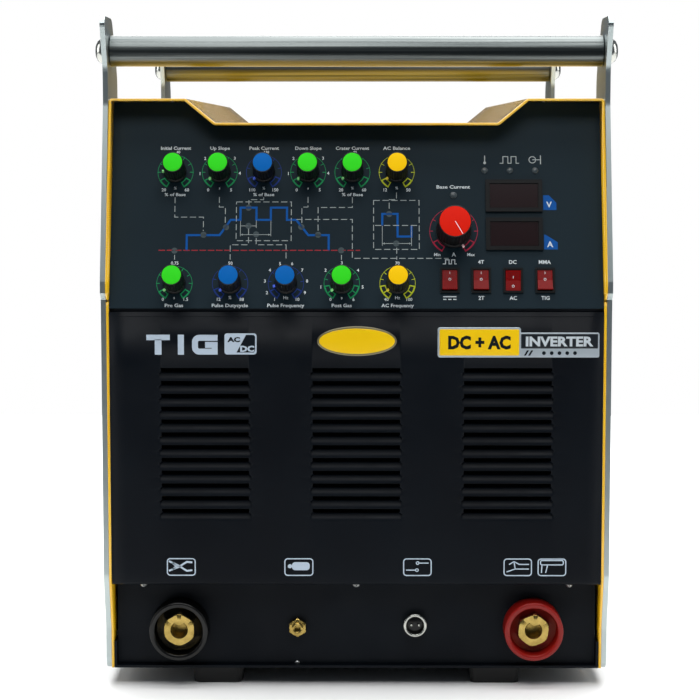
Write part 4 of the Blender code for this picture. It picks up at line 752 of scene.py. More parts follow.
def print_all(name, place, lift, slot, body="case"):
    """Lays the kept shapes of each ink down as one thin film, placed by a function of x, y and height."""
    for ink, shapes in prints.items():
        points, faces, count = [], [], 0
        for shape, shape_faces in shapes:
            points.append(shape)
            faces += [[at + count for at in face] for face in shape_faces]
            count += len(shape)
        flat = np.concatenate(points) * MM
        mesh = bpy.data.meshes.new(name + "_" + ink)
        mesh.from_pydata(place(flat[:, 0], flat[:, 1], lift).tolist(), [], faces)
        spread = bmesh.new()
        spread.from_mesh(mesh)
        outward = Vector(place(0, 0, 1) - place(0, 0, 0))
        for face in spread.faces:
            face.normal_update()
        bmesh.ops.reverse_faces(spread, faces=[face for face in spread.faces if face.normal.dot(outward) < 0])
        spread.to_mesh(mesh)
        spread.free()
        # Screen ink: dense, slightly raised, no gloss of its own.
        if "ink_" + ink not in bpy.data.materials:
            colour, roughness = inks[ink]
            new_material("ink_" + ink, Base_Color=linear(colour), Roughness=roughness, Specular_IOR_Level=0.1)
        piece(name + "_" + ink, mesh, bpy.data.materials["ink_" + ink], body, slot)
    prints.clear()


PRINT_LIFT = 0.06 * MM
print_all("fascia_print", on_panel, PRINT_LIFT, "dark_fascia_film")
letters("white", "V", (155.3, 88.0), 4.6)
letters("white", "A", (155.6, 54.9), 4.6)
print_all("unit_tag", on_panel, 2 * PRINT_LIFT, "dark_fascia_film")

# ---- Indicator lamps ----
# Four-millimetre light-emitting diodes in grey lenses, pushed through the fascia.
# All are off; each is a low dome that mirrors only the light overhead.

diffused_lens = plain_material("diffused_grey_lens", Base_Color=linear("3f484c"), Roughness=0.3)


def in_metres(points):
    """An array of points given in millimetres."""
    return np.array(points, float) * MM


def lathe(profile, segments, place, radius_at=None):
    """A turned surface: (radius, height) points swept round an axis, from the top's middle outward and down.

    place turns x, y and height into points, and radius_at(radius, height, turn) may change the radius.
    """
    profile = np.asarray(profile, float)
    turns = np.linspace(0, 2 * math.pi, segments, endpoint=False)
    radius = np.broadcast_to(profile[:, :1], (len(profile), segments))
    height = np.broadcast_to(profile[:, 1:], (len(profile), segments))
    if radius_at is not None:
        radius = radius_at(radius, height, turns[None, :])
    points = place(radius * np.cos(turns), radius * np.sin(turns), height)
    return weld(grid_mesh("turned", points, closed_columns=True), 1e-7)


def seat_on_panel(x, s):
    """Placing for a piece that stands on the panel at a point."""
    return lambda a, b, h: on_panel(x + a, s + b, h)


def dome(radius, foot, top, steps=6):
    """A quarter-ellipse profile from the top's middle down to the foot's edge."""
    turns = np.linspace(0, math.pi / 2, steps + 1)
    return [(radius * math.sin(t), foot + (top - foot) * math.cos(t)) for t in turns]


for name, x, s, radius in (
    ("temperature", 103.7, 116.5, 2.6),
    ("pulse", 124.1, 116.5, 2.6),
    ("output", 144.5, 116.5, 2.6),
    ("base_current", 78.2, 95.7, 2.9),
):
    profile = in_metres(dome(radius, 0.1, 1.4) + [(radius, 0.0)])
    lamp = lathe(profile, 32, seat_on_panel(x * MM, s * MM))
    piece("lamp_" + name, lamp, diffused_lens, "case", "dark_fascia_film")

# ---- Knobs ----
# Moulded black ABS grips with fine flutes over a plain skirt, pushed onto the potentiometers' shafts.
# Each has a coloured cap pressed into its end and a mark of the same colour on a nose of its skirt.

# Moulded ABS: black, with a soft sheen on the flutes' crests.
black_abs, tree, shader = new_material(
    "moulded_black_abs", Base_Color=linear("070707"), Roughness=0.4, Specular_IOR_Level=0.25
)
noise_bump(tree, shader, 0.4 * MM, 0.008 * MM)


def cap_colour(name, colour):
    """Coloured cap of dyed ABS, moulded with a fine matt face."""
    return plain_material(name, Base_Color=linear(colour), Roughness=0.5, Specular_IOR_Level=0.08)


caps = {
    "green": (cap_colour("green_cap", "34dc22"), "green_plastic"),
    "blue": (cap_colour("blue_cap", "0062b2"), "blue_plastic"),
    "yellow": (cap_colour("yellow_cap", "ffcc00"), "yellow_plastic"),
    "red": (cap_colour("red_cap", "df1c06"), "red_plastic"),
}
hands = {
    "green": cap_colour("green_hand", "9cf59a"),
    "blue": cap_colour("blue_hand", "5f7dff"),
    "yellow": cap_colour("yellow_hand", "ffe34a"),
    "red": cap_colour("red_hand", "ffd6da"),
}


def fluted(flutes, foot, top, depth):
    """Radius with flutes: it falls by depth times the size of sin(flutes x turn / 2) to the power of 1.5."""

    def radius_at(radius, height, turn):
        share = smooth_step((height - foot) / MM) * smooth_step((top - height) / (0.6 * MM))
        return radius - depth * share * np.abs(np.sin(flutes * turn / 2)) ** 1.5 * (radius > 2 * MM)

    return radius_at


def add_knob(name, colour, x, s, height, cap, grip, skirt, flutes, segments):
    """One knob's grip, cap and hand: its height, the radii of cap, grip and skirt, and its flutes."""
    joint = next(j for j in frame["joints"] if j["child"] == "knob_" + name)
    seat = seat_on_panel(x * MM, s * MM)
    profile = [(0, height - 0.5), (cap - 0.2, height - 0.5), (cap - 0.2, height - 0.1), (cap, height)]
    profile += [(cap + 0.5, height - 0.3), (cap + 0.7, height - 1.2)]
    for t in np.linspace(0.1, 1, 8):
        profile.append((cap + 0.7 + (grip - cap - 0.7) * t, height - 1.2 - (height - 7.4) * t))
    profile += [(grip + 0.1, 5.6), (skirt - 1.0, 4.6), (skirt - 0.3, 4.2), (skirt, 3.6)]
    profile += [(skirt, 1.2), (skirt - 0.3, 1.0), (2.6, 1.0), (0, 1.0)]
    flutes = fluted(flutes, 5.8 * MM, (height - 0.9) * MM, 0.55 * MM)
    grip_mesh = lathe(in_metres(profile), segments, seat, flutes)
    piece("grip_" + name, grip_mesh, black_abs, "knob_" + name, caps[colour][1], "knob_" + name, sharp=50)
    face = [(0, height + 0.05), (cap - 0.9, height + 0.05), (cap - 0.35, height - 0.05)]
    face += [(cap - 0.22, height - 0.3), (cap - 0.22, height - 0.48)]
    piece("cap_" + name, lathe(in_metres(face), 64, seat), caps[colour][0], "knob_" + name, caps[colour][1])
    clock = math.radians(210 + joint["range_deg"][1])
    away = np.array([math.sin(clock), math.cos(clock)])
    beside = np.array([-away[1], away[0]])

    def along_hand(reach, wide, raised):
        """Points at a reach along the hand, a width beside it and a height."""
        return seat(*((away[axis] * reach + beside[axis] * wide) * MM for axis in (0, 1)), raised * MM)

    reach = np.array([grip + 0.2, grip + 0.5, skirt + 1.6, skirt + 1.9])[:, None]
    wide = np.array([-0.75, -0.6, 0.6, 0.75])[None, :]
    raised = np.where((np.abs(wide) < 0.7) & (reach > grip + 0.3) & (reach < skirt + 1.7), 5.1, 1.2)
    nose = grid_mesh("hand", along_hand(reach, wide, raised))
    piece("hand_" + name, nose, hands[colour], "knob_" + name, caps[colour][1], sharp=30)
    if colour == "red":
        # The large cap has its own white pointer line.
        ends = np.array([0.0, cap - 0.6])[:, None]
        bar = np.array([-0.3, 0.3])[None, :]
        stripe = grid_mesh("stripe", along_hand(ends, bar, height + 0.09))
        piece("cap_line_" + name, stripe, hands[colour], "knob_" + name, caps[colour][1])


# Height, the radii of cap, grip and skirt in millimetres, then the flutes and the segments round.
SMALL_KNOB = (29.0, 7.9, 8.5, 9.0, 24, 192)
LARGE_KNOB = (31.0, 12.6, 13.6, 14.2, 30, 240)
for name, (colour, x, s, ticks) in knobs.items():
    add_knob(name, colour, x, s, *SMALL_KNOB)
add_knob("base_current", "red", 78.2, 65.8, *LARGE_KNOB)

# ---- Meters ----
# Two digital panel meters in black snap-in frames of moulded ABS, pushed through the fascia.
# They are off, behind windows of dark red acrylic.

gloss_black, tree, shader = new_material(
    "gloss_black_abs", Base_Color=linear("07090b"), Roughness=0.35, Specular_IOR_Level=0.15
)
dress(gloss_black, *METER_S)
# Red acrylic: near black with the display off, polished.
red_acrylic = plain_material(
    "dark_red_acrylic", Base_Color=linear("1b0a0d"), Roughness=0.15, Specular_IOR_Level=0.3
)
WINDOW_HALF_X, WINDOW_HALF_S, WINDOW_LIFT = 19.3 * MM, 9.9 * MM, 1.3 * MM
for name, s in METER_S.items():
    span_x = METER_X + np.array([WINDOW_HALF_X, -WINDOW_HALF_X])[None, :]
    span_s = s + np.array([-WINDOW_HALF_S, WINDOW_HALF_S])[:, None]
    window = on_panel(span_x, span_s, WINDOW_LIFT)
    piece("window_" + name, grid_mesh("window", window), red_acrylic, "case", "black_plastic")

# ---- Rocker switches ----
# Four snap-in rockers of dyed red polycarbonate in black frames, marked for on and off.
# The upper half of each is stippled for the thumb.

# Dyed polycarbonate: moulded with a satin face.
red_polycarbonate = plain_material(
    "red_polycarbonate", Base_Color=linear("7c0506"), Roughness=0.4, Specular_IOR_Level=0.15
)
dress(gloss_black, *["rocker_housing_" + word for word in ROCKER_X])
dress(red_polycarbonate, *["rocker_" + word for word in ROCKER_X])
# Stipple: pips moulded in the same polycarbonate, drawn as flat dots in a darker red with its full gloss; the
# darker red is painted shade for the pips' relief.
new_material("ink_pip_shade", Base_Color=linear("5c0a0a"), Roughness=0.4)
ROCKER_TILT = math.radians(10)
ROCKER_CREST, ROCKER_DIP, ROCKER_HALF = 2.6 * MM, 1.3 * MM, 8.1 * MM
for word, x in ROCKER_X.items():
    angle = ROCKER_TILT if word == "current" else -ROCKER_TILT

    def on_rocker(a, b, h, x=x, angle=angle):
        """A point of the rocker's V-shaped face, tipped about its axis."""
        b = np.asarray(b, float)
        rise = ROCKER_DIP + (ROCKER_CREST - ROCKER_DIP) * np.abs(b) / ROCKER_HALF + h
        tipped = b * math.cos(angle) - rise * math.sin(angle)
        return on_panel(x + a, ROCKER_S + tipped, b * math.sin(angle) + rise * math.cos(angle))

    mark_s = -3.2 if word == "current" else 0.0
    line("white", [(0, 6.9 + mark_s), (0, 4.9 + mark_s)], 0.45)
    arc("white", (0, 0.6 + mark_s * 1.6), 0.7, 1.1, 0, 360, 20)
    # The pips: flat dots in the darker red, painted shade standing in for their relief.
    for row in range(4):
        for column in range(-3, 4):
            if column:
                disc("pip_shade", (column * 1.35, 2.2 + row * 1.4), 0.28)
    print_all("mark_" + word, on_rocker, PRINT_LIFT, "red_plastic", "rocker_" + word)

# ---- Badges and signs on the louvred sheet ----
# Words and signs are screen-printed straight on the powder coat.
# The plates are embossed polyester with a metallic rim, stuck on with their own film.


def on_front(x, z, h):
    """Points of the louvred face, from x, z and height out of it."""
    x, z, h = np.broadcast_arrays(np.asarray(x, float), z, h)
    return np.stack([x, face_y - h, z], axis=-1)


inks |= {
    "sign_white": ("bdccdb", 0.45),
    "plate_yellow": ("ffc80f", 0.35),
    "plate_silver": ("c9d2d8", 0.35),
    "plate_dark": ("141b22", 0.35),
    "rim_brown": ("6d6448", 0.4),
}
SIGN = "sign_white"


def round_box(low_x, low_z, high_x, high_z, radius):
    """An outline of a rectangle with round corners, counter-clockwise."""
    turns = np.linspace(0, math.pi / 2, 7)
    corners = [(high_x - radius, low_z + radius, -90), (high_x - radius, high_z - radius, 0)]
    corners += [(low_x + radius, high_z - radius, 90), (low_x + radius, low_z + radius, 180)]
    parts = []
    for x, z, start in corners:
        turn = turns + math.radians(start)
        parts.append(np.stack([x + radius * np.cos(turn), z + radius * np.sin(turn)], axis=1))
    return np.concatenate(parts)


# T, I and G: strokes about five millimetres wide.
line(SIGN, [(-168.0, 287.6), (-149.2, 287.6)], 4.4)
line(SIGN, [(-158.6, 286.0), (-158.6, 273.7)], 5.4)
line(SIGN, [(-140.4, 289.8), (-140.4, 273.7)], 4.9)
g_left, g_top, g_foot, g_turn = -129.1, 287.3, 276.2, 3.4
g_shape = [(-111.0, g_top)]
for t in np.linspace(math.pi / 2, math.pi, 6):
    g_shape.append((g_left + g_turn * (1 + math.cos(t)), g_top - g_turn * (1 - math.sin(t))))
for t in np.linspace(math.pi, 1.5 * math.pi, 6):
    g_shape.append((g_left + g_turn * (1 + math.cos(t)), g_foot + g_turn * (1 + math.sin(t))))
g_shape += [(-113.4, g_foot), (-113.4, 281.6), (-121.0, 281.6)]
line(SIGN, g_shape, 4.8)
patch(SIGN, round_box(-105.5, 273.9, -79.8, 290.9, 2.2))
print_all("sign", on_front, PRINT_LIFT, "black_powder_coat")
dark_half = [(-95.9, 275.5), (-82.2, 275.5), (-81.0, 276.8), (-81.0, 288.4), (-82.2, 289.7), (-88.2, 289.7)]
patch("plate_dark", dark_half)
print_all("sign_half", on_front, 0.1 * MM, "black_powder_coat")
letters("plate_dark", "AC", (-98.1, 285.9), 3.6, 10.2, 0.05)
letters(SIGN, "DC", (-87.3, 278.5), 4.4, 11.4, 0.05)
print_all("sign_words", on_front, 0.14 * MM, "black_powder_coat")


def plate_bulge(name, outline, thickness, edge, material, slot):
    """A stuck-on plate: rings of its outline step in by edge as they rise to the thickness, then close."""
    outline = np.asarray(outline, float) * MM
    middle = outline.mean(axis=0)
    size = np.abs(outline - middle).max(axis=0)
    shrink = 1 - edge * MM / size
    rings = [(1.0, 0.0), (1.0, 0.6), (0.5, 0.92), (0.0, 1.0)]
    near, high = np.array(rings).T[..., None, None]
    rows = middle + (outline - middle) * (shrink + (1 - shrink) * near)
    rows = np.concatenate([rows, np.broadcast_to(middle, (1, *outline.shape))])
    high = np.append(high, 1.0)[:, None] * thickness * MM
    points = on_front(rows[..., 0], rows[..., 1], high)[::-1]
    mesh = weld(grid_mesh(name, points, closed_columns=True), 1e-7)
    piece(name, mesh, material, "case", slot, sharp=50)


turns = np.linspace(0, 2 * math.pi, 72, endpoint=False)
oval_middle = np.array([0.5, 284.7])
oval = oval_middle + np.stack([31.9 * np.cos(turns), 11.85 * np.sin(turns)], axis=1)
# Embossed polyester badges: a metallised rim round a flat colour.
badge_rim = plain_material("metallised_rim", Base_Color=linear("8a8368"), Roughness=0.35, Metallic=0.6)
badge_yellow = plain_material("yellow_badge_film", Base_Color=linear("ffd000"), Roughness=0.3)
badge_silver = plain_material("silver_badge_film", Base_Color=linear("b9c4cc"), Roughness=0.3, Metallic=0.3)
badge_dark = plain_material("dark_badge_film", Base_Color=linear("171d24"), Roughness=0.3)
plate_bulge("oval_rim", oval, 0.7, 0.8, badge_rim, "yellow_enamel")
inner_oval = (oval - oval_middle) * [0.955, 0.87] + oval_middle
plate_bulge("oval_badge", inner_oval, 1.0, 0.6, badge_yellow, "yellow_enamel")
left_rim, left_face = round_box(65.0, 271.7, 131.5, 295.8, 2.0), round_box(66.4, 273.1, 130.3, 294.4, 1.2)
right_rim, right_face = round_box(129.0, 271.7, 194.3, 291.6, 1.4), round_box(131.6, 278.8, 193.2, 290.6, 0.6)
plate_bulge("left_plate_rim", left_rim, 0.6, 0.5, badge_silver, "brushed_steel")
plate_bulge("left_plate", left_face, 0.8, 0.4, badge_yellow, "yellow_enamel")
plate_bulge("right_plate_rim", right_rim, 0.5, 0.4, badge_silver, "brushed_steel")
plate_bulge("right_plate", right_face, 0.65, 0.3, badge_dark, "black_plastic")
letters("plate_dark", "DC + AC", (98.4, 283.7), 9.6, 50.0, 0.05)
print_all("left_plate_word", on_front, 0.86 * MM, "black_plastic")
letters("plate_silver", "INVERTER", (162.4, 284.6), 7.2, 54.0, 0.04)
print_all("right_plate_word", on_front, 0.7 * MM, "black_plastic")
for at in range(5):
    disc("plate_dark", (150.0 + 6.2 * at, 275.2), 1.5)
for at in (0, 1):
    slash = [(134.0, 273.2), (135.6, 273.2), (138.0, 277.4), (136.4, 277.4)]
    patch("plate_dark", [(x + 3.4 * at, z) for x, z in slash])
print_all("right_plate_marks", on_front, 0.6 * MM, "black_plastic")

# Signs over the sockets: work clamp, gas bottle, torch switch, electrode holder and torch.
for low, high in ((-153.3, -129.6), (-58.3, -34.5), (37.7, 61.1), (118.8, 142.1), (146.3, 169.8)):
    line(SIGN, round_box(low + 0.6, 94.4, high - 0.6, 108.0, 2.4), 0.9, closed=True)
for shape in (
    [(-151.5, 98.0), (-143.5, 101.2), (-137.0, 105.4), (-132.5, 105.0)],
    [(-151.5, 106.0), (-143.5, 102.2), (-137.0, 98.0), (-132.5, 98.6)],
    [(-148.5, 99.0), (-145.6, 101.8), (-148.5, 104.6)],
):
    line(SIGN, shape, 1.5)
patch(SIGN, round_box(-52.0, 98.6, -37.6, 105.2, 2.6))
disc(SIGN, (-53.6, 101.9), 1.7)
for x, z in ((49.6, 104.6), (49.0, 98.8)):
    arc(SIGN, (x, z), 0.7, 1.5, 0, 360, 20)
line(SIGN, [(51.1, 104.6), (58.6, 104.6)], 0.9)
line(SIGN, [(47.5, 98.8), (40.2, 98.8)], 0.9)
line(SIGN, [(121.4, 97.4), (128.4, 99.8), (139.6, 99.8)], 0.9)
line(SIGN, [(123.4, 103.4), (127.4, 105.9), (131.6, 103.6), (139.6, 103.6)], 0.9)
line(SIGN, [(128.4, 99.8), (127.4, 105.9)], 0.9)
line(SIGN, round_box(148.8, 103.2, 167.2, 106.8, 1.2), 0.9, closed=True)
line(SIGN, [(150.0, 103.2), (149.6, 96.6)], 0.9)
line(SIGN, [(154.6, 103.2), (153.0, 96.6)], 0.9)
print_all("function_sign", on_front, PRINT_LIFT, "black_powder_coat")

# ---- Weld sockets ----
# Bayonet sockets for the welding cables: a glass-filled nylon collar round a machined brass hexagon.
# Black is minus and red is plus; a tongue in the bore locks the plug's key.

connector_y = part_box("connector_panel")[0].y
# Machined brass: bright, with turning marks fine enough to be only a gloss.
machined_brass, tree, shader = new_material("machined_brass", Metallic=1.0, Roughness=0.26)
noise_between(tree, shader.inputs["Base Color"], "9c8446", "b59c58", 6 * MM)
# Glass-filled nylon: moulded, with a slightly uneven gloss.
black_nylon = plain_material(
    "black_nylon", Base_Color=linear("050505"), Roughness=0.22, Specular_IOR_Level=0.3
)
red_nylon, tree, shader = new_material(
    "red_nylon", Base_Color=linear("84120c"), Roughness=0.3, Specular_IOR_Level=0.3
)
noise_bump(tree, shader, 1 * MM, 0.02 * MM)


def seat_on_connector(x, z, turned_by=0.0):
    """Placing for a piece that stands out of the connector panel, turned about its axis."""
    cosine, sine = math.cos(turned_by), math.sin(turned_by)

    def place(a, b, h):
        across, up = a * cosine - b * sine, a * sine + b * cosine
        across, up, h = np.broadcast_arrays(across + x, up + z, h)
        return np.stack([across, connector_y - h, up], axis=-1)

    return place


def hexagon(across_flats, bore, tongue=0.0):
    """Radius of a hexagon with a tongued bore.

    Outside, it is half the flats' distance over the cosine of the turn from the nearest flat, and at most
    the profile's own radius. Inside, the bore's radius falls by the tongue's height in a bell about the top.
    """

    def radius_at(radius, height, turn):
        nearest = (turn + math.pi / 6) % (math.pi / 3) - math.pi / 6
        flat = across_flats / 2 / np.cos(nearest)
        bell = np.exp(-(((turn - math.pi / 2 + math.pi) % (2 * math.pi) - math.pi) / 0.5) ** 4)
        inner = radius - tongue * bell
        return np.where(radius > bore + 0.3 * MM, np.minimum(radius, flat), np.where(radius > 0, inner, 0))

    return radius_at


def middle_of(node):
    """The middle of a round piece on the connector panel, as x and z."""
    low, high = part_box(node)
    return (low.x + high.x) / 2, (low.z + high.z) / 2


COLLAR = [(9.3, 5.5), (19.0, 5.5), (19.4, 5.9), (19.6, 20.9), (20.0, 21.4), (23.0, 21.5), (23.6, 21.2)]
COLLAR += [(23.8, 20.6), (23.8, 3.4), (24.0, 2.8), (24.0, 0.6), (23.7, 0.3), (15.0, 0.3)]
COLLAR += [(15.0, -9.0), (9.4, -9.0)]
NOSE = [(0, -3.8), (6.4, -3.8), (6.5, -3.4), (6.5, 15.2), (7.1, 15.9), (12.3, 16.0), (13.0, 15.6)]
NOSE += [(13.9, 14.8), (14.5, 13.6), (14.5, 6.0), (9.0, 5.9), (9.0, -30.0), (0, -30.0)]
for word, side, nylon, slot in (
    ("negative", -1, black_nylon, "black_plastic"),
    ("positive", 1, red_nylon, "red_plastic"),
):
    x, z = middle_of("socket_insulator_" + word)
    seat = seat_on_connector(x, z)
    mesh = lathe(in_metres(COLLAR + COLLAR[:1]), 96, seat)
    piece("collar_" + word, mesh, nylon, "case", slot, "socket_insulator_" + word, sharp=50)
    seat = seat_on_connector(x, z, math.radians(-8) if side > 0 else 0.0)
    mesh = lathe(in_metres(NOSE), 144, seat, hexagon(24.0 * MM, 6.5 * MM, 2.4 * MM))
    piece("brass_" + word, mesh, machined_brass, "case", "brass", "socket_brass_" + word, sharp=35)

# ---- Gas outlet and torch socket ----
# A brass hexagon with a cone for the torch's gas hose, screwed through the connector panel.
# Beside it is a nickel-plated ring round a black insert with two pins, for the torch's switch.

GAS = [(0, 2.0), (2.5, 2.0), (2.6, 9.4), (3.6, 9.9), (4.6, 9.4), (4.8, 6.9), (6.6, 6.7), (7.4, 6.2)]
GAS += [(7.8, 5.2), (7.8, 0.3), (4.8, 0.3), (4.8, -18.0), (0, -18.0)]
seat = seat_on_connector(*middle_of("gas_outlet"))
mesh = lathe(in_metres(GAS), 96, seat, hexagon(13.5 * MM, 5.2 * MM))
piece("gas_outlet_brass", mesh, machined_brass, "case", "brass", "gas_outlet", sharp=35)
# Nickel plate: bright and slightly warm.
nickel_plate = plain_material("nickel_plate", Base_Color=linear("b9bab4"), Metallic=1.0, Roughness=0.22)
TORCH = [(7.2, 1.2), (7.2, 8.9), (7.6, 9.4), (8.9, 9.5), (9.5, 9.0), (9.6, 8.4), (9.6, 0.9), (9.2, 0.3)]
TORCH += [(7.8, 0.3), (7.8, -15.0), (7.2, -15.0), (7.2, 1.2)]
torch_x, torch_z = middle_of("torch_socket")
seat = seat_on_connector(torch_x, torch_z)
torch_ring = lathe(in_metres(TORCH), 96, seat, fluted(30, 1.0 * MM, 8.6 * MM, 0.35 * MM))
piece("torch_socket_nut", torch_ring, nickel_plate, "case", "brushed_steel", "torch_socket", sharp=50)
core = [(0, 5.2), (6.4, 5.2), (7.1, 4.9), (7.15, 1.2), (7.15, -6.0), (0, -6.0)]
piece("torch_socket_core", lathe(in_metres(core), 64, seat), black_nylon, "case", "black_plastic")
for word, side in (("left", -1), ("right", 1)):
    pin = in_metres(dome(1.1, 7.4, 8.3, 4) + [(1.1, 4.0), (0, 4.0)])
    mesh = lathe(pin, 24, seat_on_connector(torch_x + 3.1 * side * MM, torch_z))
    piece("torch_pin_" + word, mesh, nickel_plate, "case", "brushed_steel")

# ---- Screws ----
# Zinc-plated pan-head screws with cross recesses: three under the lip, one by the sockets, and others round
# the case's edges.

zinc_plate = plain_material("zinc_plate", Base_Color=linear("9a9c9b"), Metallic=1.0, Roughness=0.3)


def screw(name, origin, right, up, radius):
    """A pan head: its height is a low dome less a cross-shaped recess with sloping sides."""
    origin, right, up = (np.array(v, float) for v in (origin, right, up))
    out = np.cross(right, up)
    rings = np.array([0, 0.12, 0.2, 0.3, 0.42, 0.5, 0.6, 0.8, 0.93, 1.0, 1.0])[:, None] * radius
    turns = np.linspace(0, 2 * math.pi, 48, endpoint=False)[None, :]
    a, b = rings * np.cos(turns), rings * np.sin(turns)
    height = 0.62 * radius * np.sqrt(np.clip(1 - (rings / radius / 1.06) ** 2, 0, 1)) + 0 * turns
    near = np.minimum(np.abs(a), np.abs(b))
    recess = smooth_step((0.17 * radius - near) / (0.07 * radius))
    recess = recess * smooth_step((0.56 * radius - rings) / (0.12 * radius))
    height = height - 0.4 * radius * recess
    height[-1] = 0
    points = origin + a[..., None] * right + b[..., None] * up + height[..., None] * out
    mesh = weld(grid_mesh(name, points, closed_columns=True), 1e-7)
    piece(name, mesh, zinc_plate, "case", "brushed_steel")


RIGHT, UP = (1, 0, 0), (0, 0, 1)
for at, x in enumerate((-174, 0, 174)):
    screw(f"lip_screw_{at}", (x * MM, connector_y, 83.4 * MM), RIGHT, UP, 3.0 * MM)
screw("earth_screw", (-48.5 * MM, connector_y, 17.2 * MM), RIGHT, UP, 2.2 * MM)

# ---- Side frames, grab bars and bolts ----
# Frames cut from four-millimetre stainless plate and brushed.
# Bars of polished stainless tube run between their horns, each held at its ends by a domed bolt.

# Brushed plate: grey, with a grain along its length.
brushed_plate, tree, shader = new_material(
    "brushed_stainless_plate", Base_Color=linear("b0baba"), Metallic=1.0
)
where = add_node(tree, "ShaderNodeTexCoord")
grain = add_node(tree, "ShaderNodeMapping", [("Vector", where.outputs["Object"])])
grain.inputs["Scale"].default_value = (1 / (1 * MM), 1 / (40 * MM), 1 / (0.6 * MM))
streaks = add_node(tree, "ShaderNodeTexNoise", [("Vector", grain.outputs["Vector"])], Scale=1.0, Detail=3.0)
gloss = add_node(tree, "ShaderNodeMapRange", [("Value", streaks.outputs["Fac"])], To_Min=0.3, To_Max=0.42)
tree.links.new(gloss.outputs["Result"], shader.inputs["Roughness"])
dress(brushed_plate, "side_frame_left", "side_frame_right")

# Polished tube: drawn along its length, so its streaks run that way.
polished_tube, tree, shader = new_material("polished_stainless_tube", Metallic=1.0)
where = add_node(tree, "ShaderNodeTexCoord")
drawn = add_node(tree, "ShaderNodeMapping", [("Vector", where.outputs["Object"])])
drawn.inputs["Scale"].default_value = (1 / (300 * MM), 1 / (2.4 * MM), 1 / (2.4 * MM))
streaks = add_node(tree, "ShaderNodeTexNoise", [("Vector", drawn.outputs["Vector"])], Scale=1.0, Detail=4.0)
gloss = add_node(tree, "ShaderNodeMapRange", [("Value", streaks.outputs["Fac"])], To_Min=0.22, To_Max=0.44)
tree.links.new(gloss.outputs["Result"], shader.inputs["Roughness"])
shade = add_node(tree, "ShaderNodeValToRGB", [("Fac", streaks.outputs["Fac"])])
shade.color_ramp.elements[0].position = 0.38
shade.color_ramp.elements[1].position = 0.62
shade.color_ramp.elements[0].color = linear("474c4c")
shade.color_ramp.elements[1].color = linear("727776")
tree.links.new(shade.outputs["Color"], shader.inputs["Base Color"])
BOLT = [(0, 3.6), (2.6, 3.6), (2.8, 3.8), (2.8, 6.9), (3.2, 7.2), (5.0, 6.9), (8.0, 5.4), (9.8, 3.2)]
BOLT += [(10.5, 1.2), (10.5, 0.2), (10.2, 0), (5.9, 0), (5.9, -8), (0, -8)]
for word in ("front", "rear"):
    low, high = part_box(word + "_grab_bar")
    axis_y, axis_z, radius = (low.y + high.y) / 2, (low.z + high.z) / 2, (high.z - low.z) / 2
    half = high.x

    def along_bar(a, b, h, axis_y=axis_y, axis_z=axis_z):
        a, b, h = np.broadcast_arrays(a, b, h)
        return np.stack([h, axis_y + a, axis_z + b], axis=-1)

    chamfer = 0.8 * MM
    profile = [(0, half), (radius - chamfer, half), (radius, half - chamfer)]
    profile += [(radius, -half + chamfer), (radius - chamfer, -half), (0, -half)]
    tube = lathe(profile, 96, along_bar)
    piece(word + "_bar_tube", tube, polished_tube, "case", "polished_tube", word + "_grab_bar")
    for hand, side in (("left", -1), ("right", 1)):
        low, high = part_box(f"bar_bolt_{word}_{hand}")
        face = (low.x if side < 0 else high.x) - side * 7.2 * MM

        def bolt_place(a, b, h, face=face, side=side, axis_y=axis_y, axis_z=axis_z):
            a, b, h = np.broadcast_arrays(a, b, h)
            return np.stack([face + side * h, axis_y + side * a, axis_z + b], axis=-1)

        mesh = lathe(in_metres(BOLT), 72, bolt_place)
        name = f"bolt_{word}_{hand}"
        piece(name, mesh, nickel_plate, "case", "brushed_steel", "bar_" + name, sharp=35)

# ---- Feet ----
# Four blocks of moulded rubber, screwed from inside the base pan.
# Rubber is matt, with a faint unevenness from its mould.

moulded_rubber, tree, shader = new_material("moulded_rubber", Base_Color=linear("141414"), Roughness=0.75)
noise_bump(tree, shader, 1.5 * MM, 0.05 * MM)
dress(moulded_rubber, *[f"foot_{a}_{b}" for a in ("front", "rear") for b in ("left", "right")])

# ---- Rear panel ----
# Powder-coated sheet steel, screwed round its edge. The fan draws air in through a nickel-plated wire guard.
# Near it are the mains breaker, the cable gland, the brass gas inlet, and a rating plate left blank.

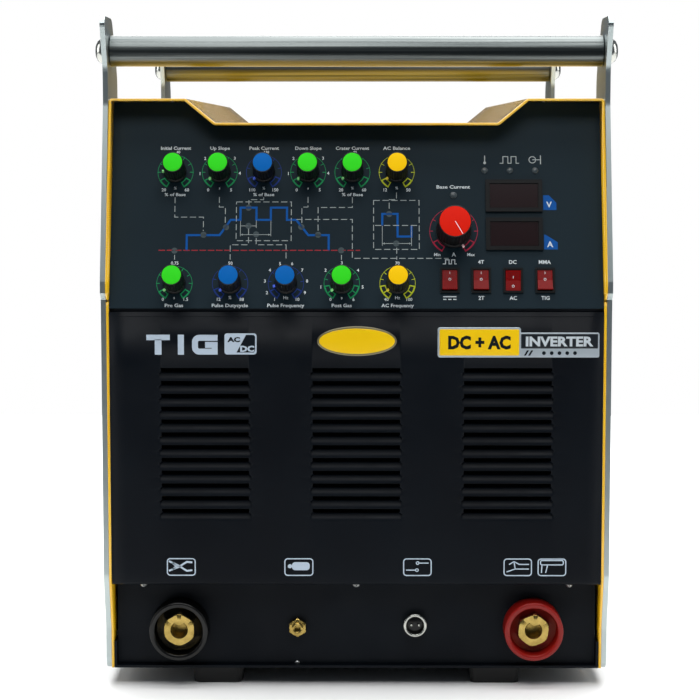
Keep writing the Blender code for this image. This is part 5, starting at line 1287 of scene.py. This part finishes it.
satin_abs = plain_material("satin_black_abs", Base_Color=linear("121314"), Roughness=0.5)
dress(satin_abs, "fan_frame", "fan_rotor", "mains_breaker", "cable_gland", "hf_unit")
dress(plain_material("black_lever", Base_Color=linear("1b1c1e"), Roughness=0.35), "breaker_lever")
dress(nickel_plate, "fan_guard")
dress(machined_brass, "gas_inlet", "gas_solenoid")
rear_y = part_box("rear_panel")[1].y


def on_rear(x, z, h):
    """Points of the rear panel's face, from x to the machine's left, z up and height out of the back."""
    x, z, h = np.broadcast_arrays(np.asarray(x, float), z, h)
    return np.stack([-x, rear_y + h, z], axis=-1)


rating = round_box(36, 60, 126, 116, 2.0)
plate_faces = [range(len(rating))]
plate_points = on_rear(rating[:, 0] * MM, rating[:, 1] * MM, 0.3 * MM)
rating_mesh = bpy.data.meshes.new("rating_plate")
rating_mesh.from_pydata(plate_points.tolist(), [], plate_faces)
# Blank anodised rating plate.
anodised_plate = plain_material("anodised_plate", Base_Color=linear("a7abad"), Metallic=0.9, Roughness=0.4)
solidify(piece("rating_plate", rating_mesh, anodised_plate, "case", "brushed_steel"), 0.3 * MM)
for at, (x, z) in enumerate([(-180, 445), (180, 445), (-180, 250), (180, 250), (-180, 60), (180, 60)]):
    screw(f"rear_screw_{at}", (x * MM, rear_y, z * MM), (-1, 0, 0), UP, 3.2 * MM)
for side, word in ((-1, "left"), (1, "right")):
    for at, (depth, z) in enumerate([(30, 130), (30, 300), (580, 130), (580, 300)]):
        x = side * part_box("side_frame_right")[1].x
        place = (x, face_y + depth * MM, z * MM)
        screw(f"frame_screw_{word}_{at}", place, (0, side, 0), UP, 3.6 * MM)

# ---- Inside ----
# Circuit boards with a green solder mask, an extruded aluminium heat sink, and varnished copper windings.
# All are screwed to the base pan or stand behind the panels.

solder_mask = plain_material("solder_mask_green", Base_Color=linear("1d5a35"), Roughness=0.4)
dress(solder_mask, "inverter_board", "control_board")
copper = plain_material("varnished_copper", Base_Color=linear("b4652e"), Roughness=0.35, Metallic=1.0)
dress(copper, "main_transformer", "output_choke")
aluminium = plain_material("extruded_aluminium", Base_Color=linear("c2c4c6"), Roughness=0.4, Metallic=1.0)
dress(aluminium, "power_heatsink")
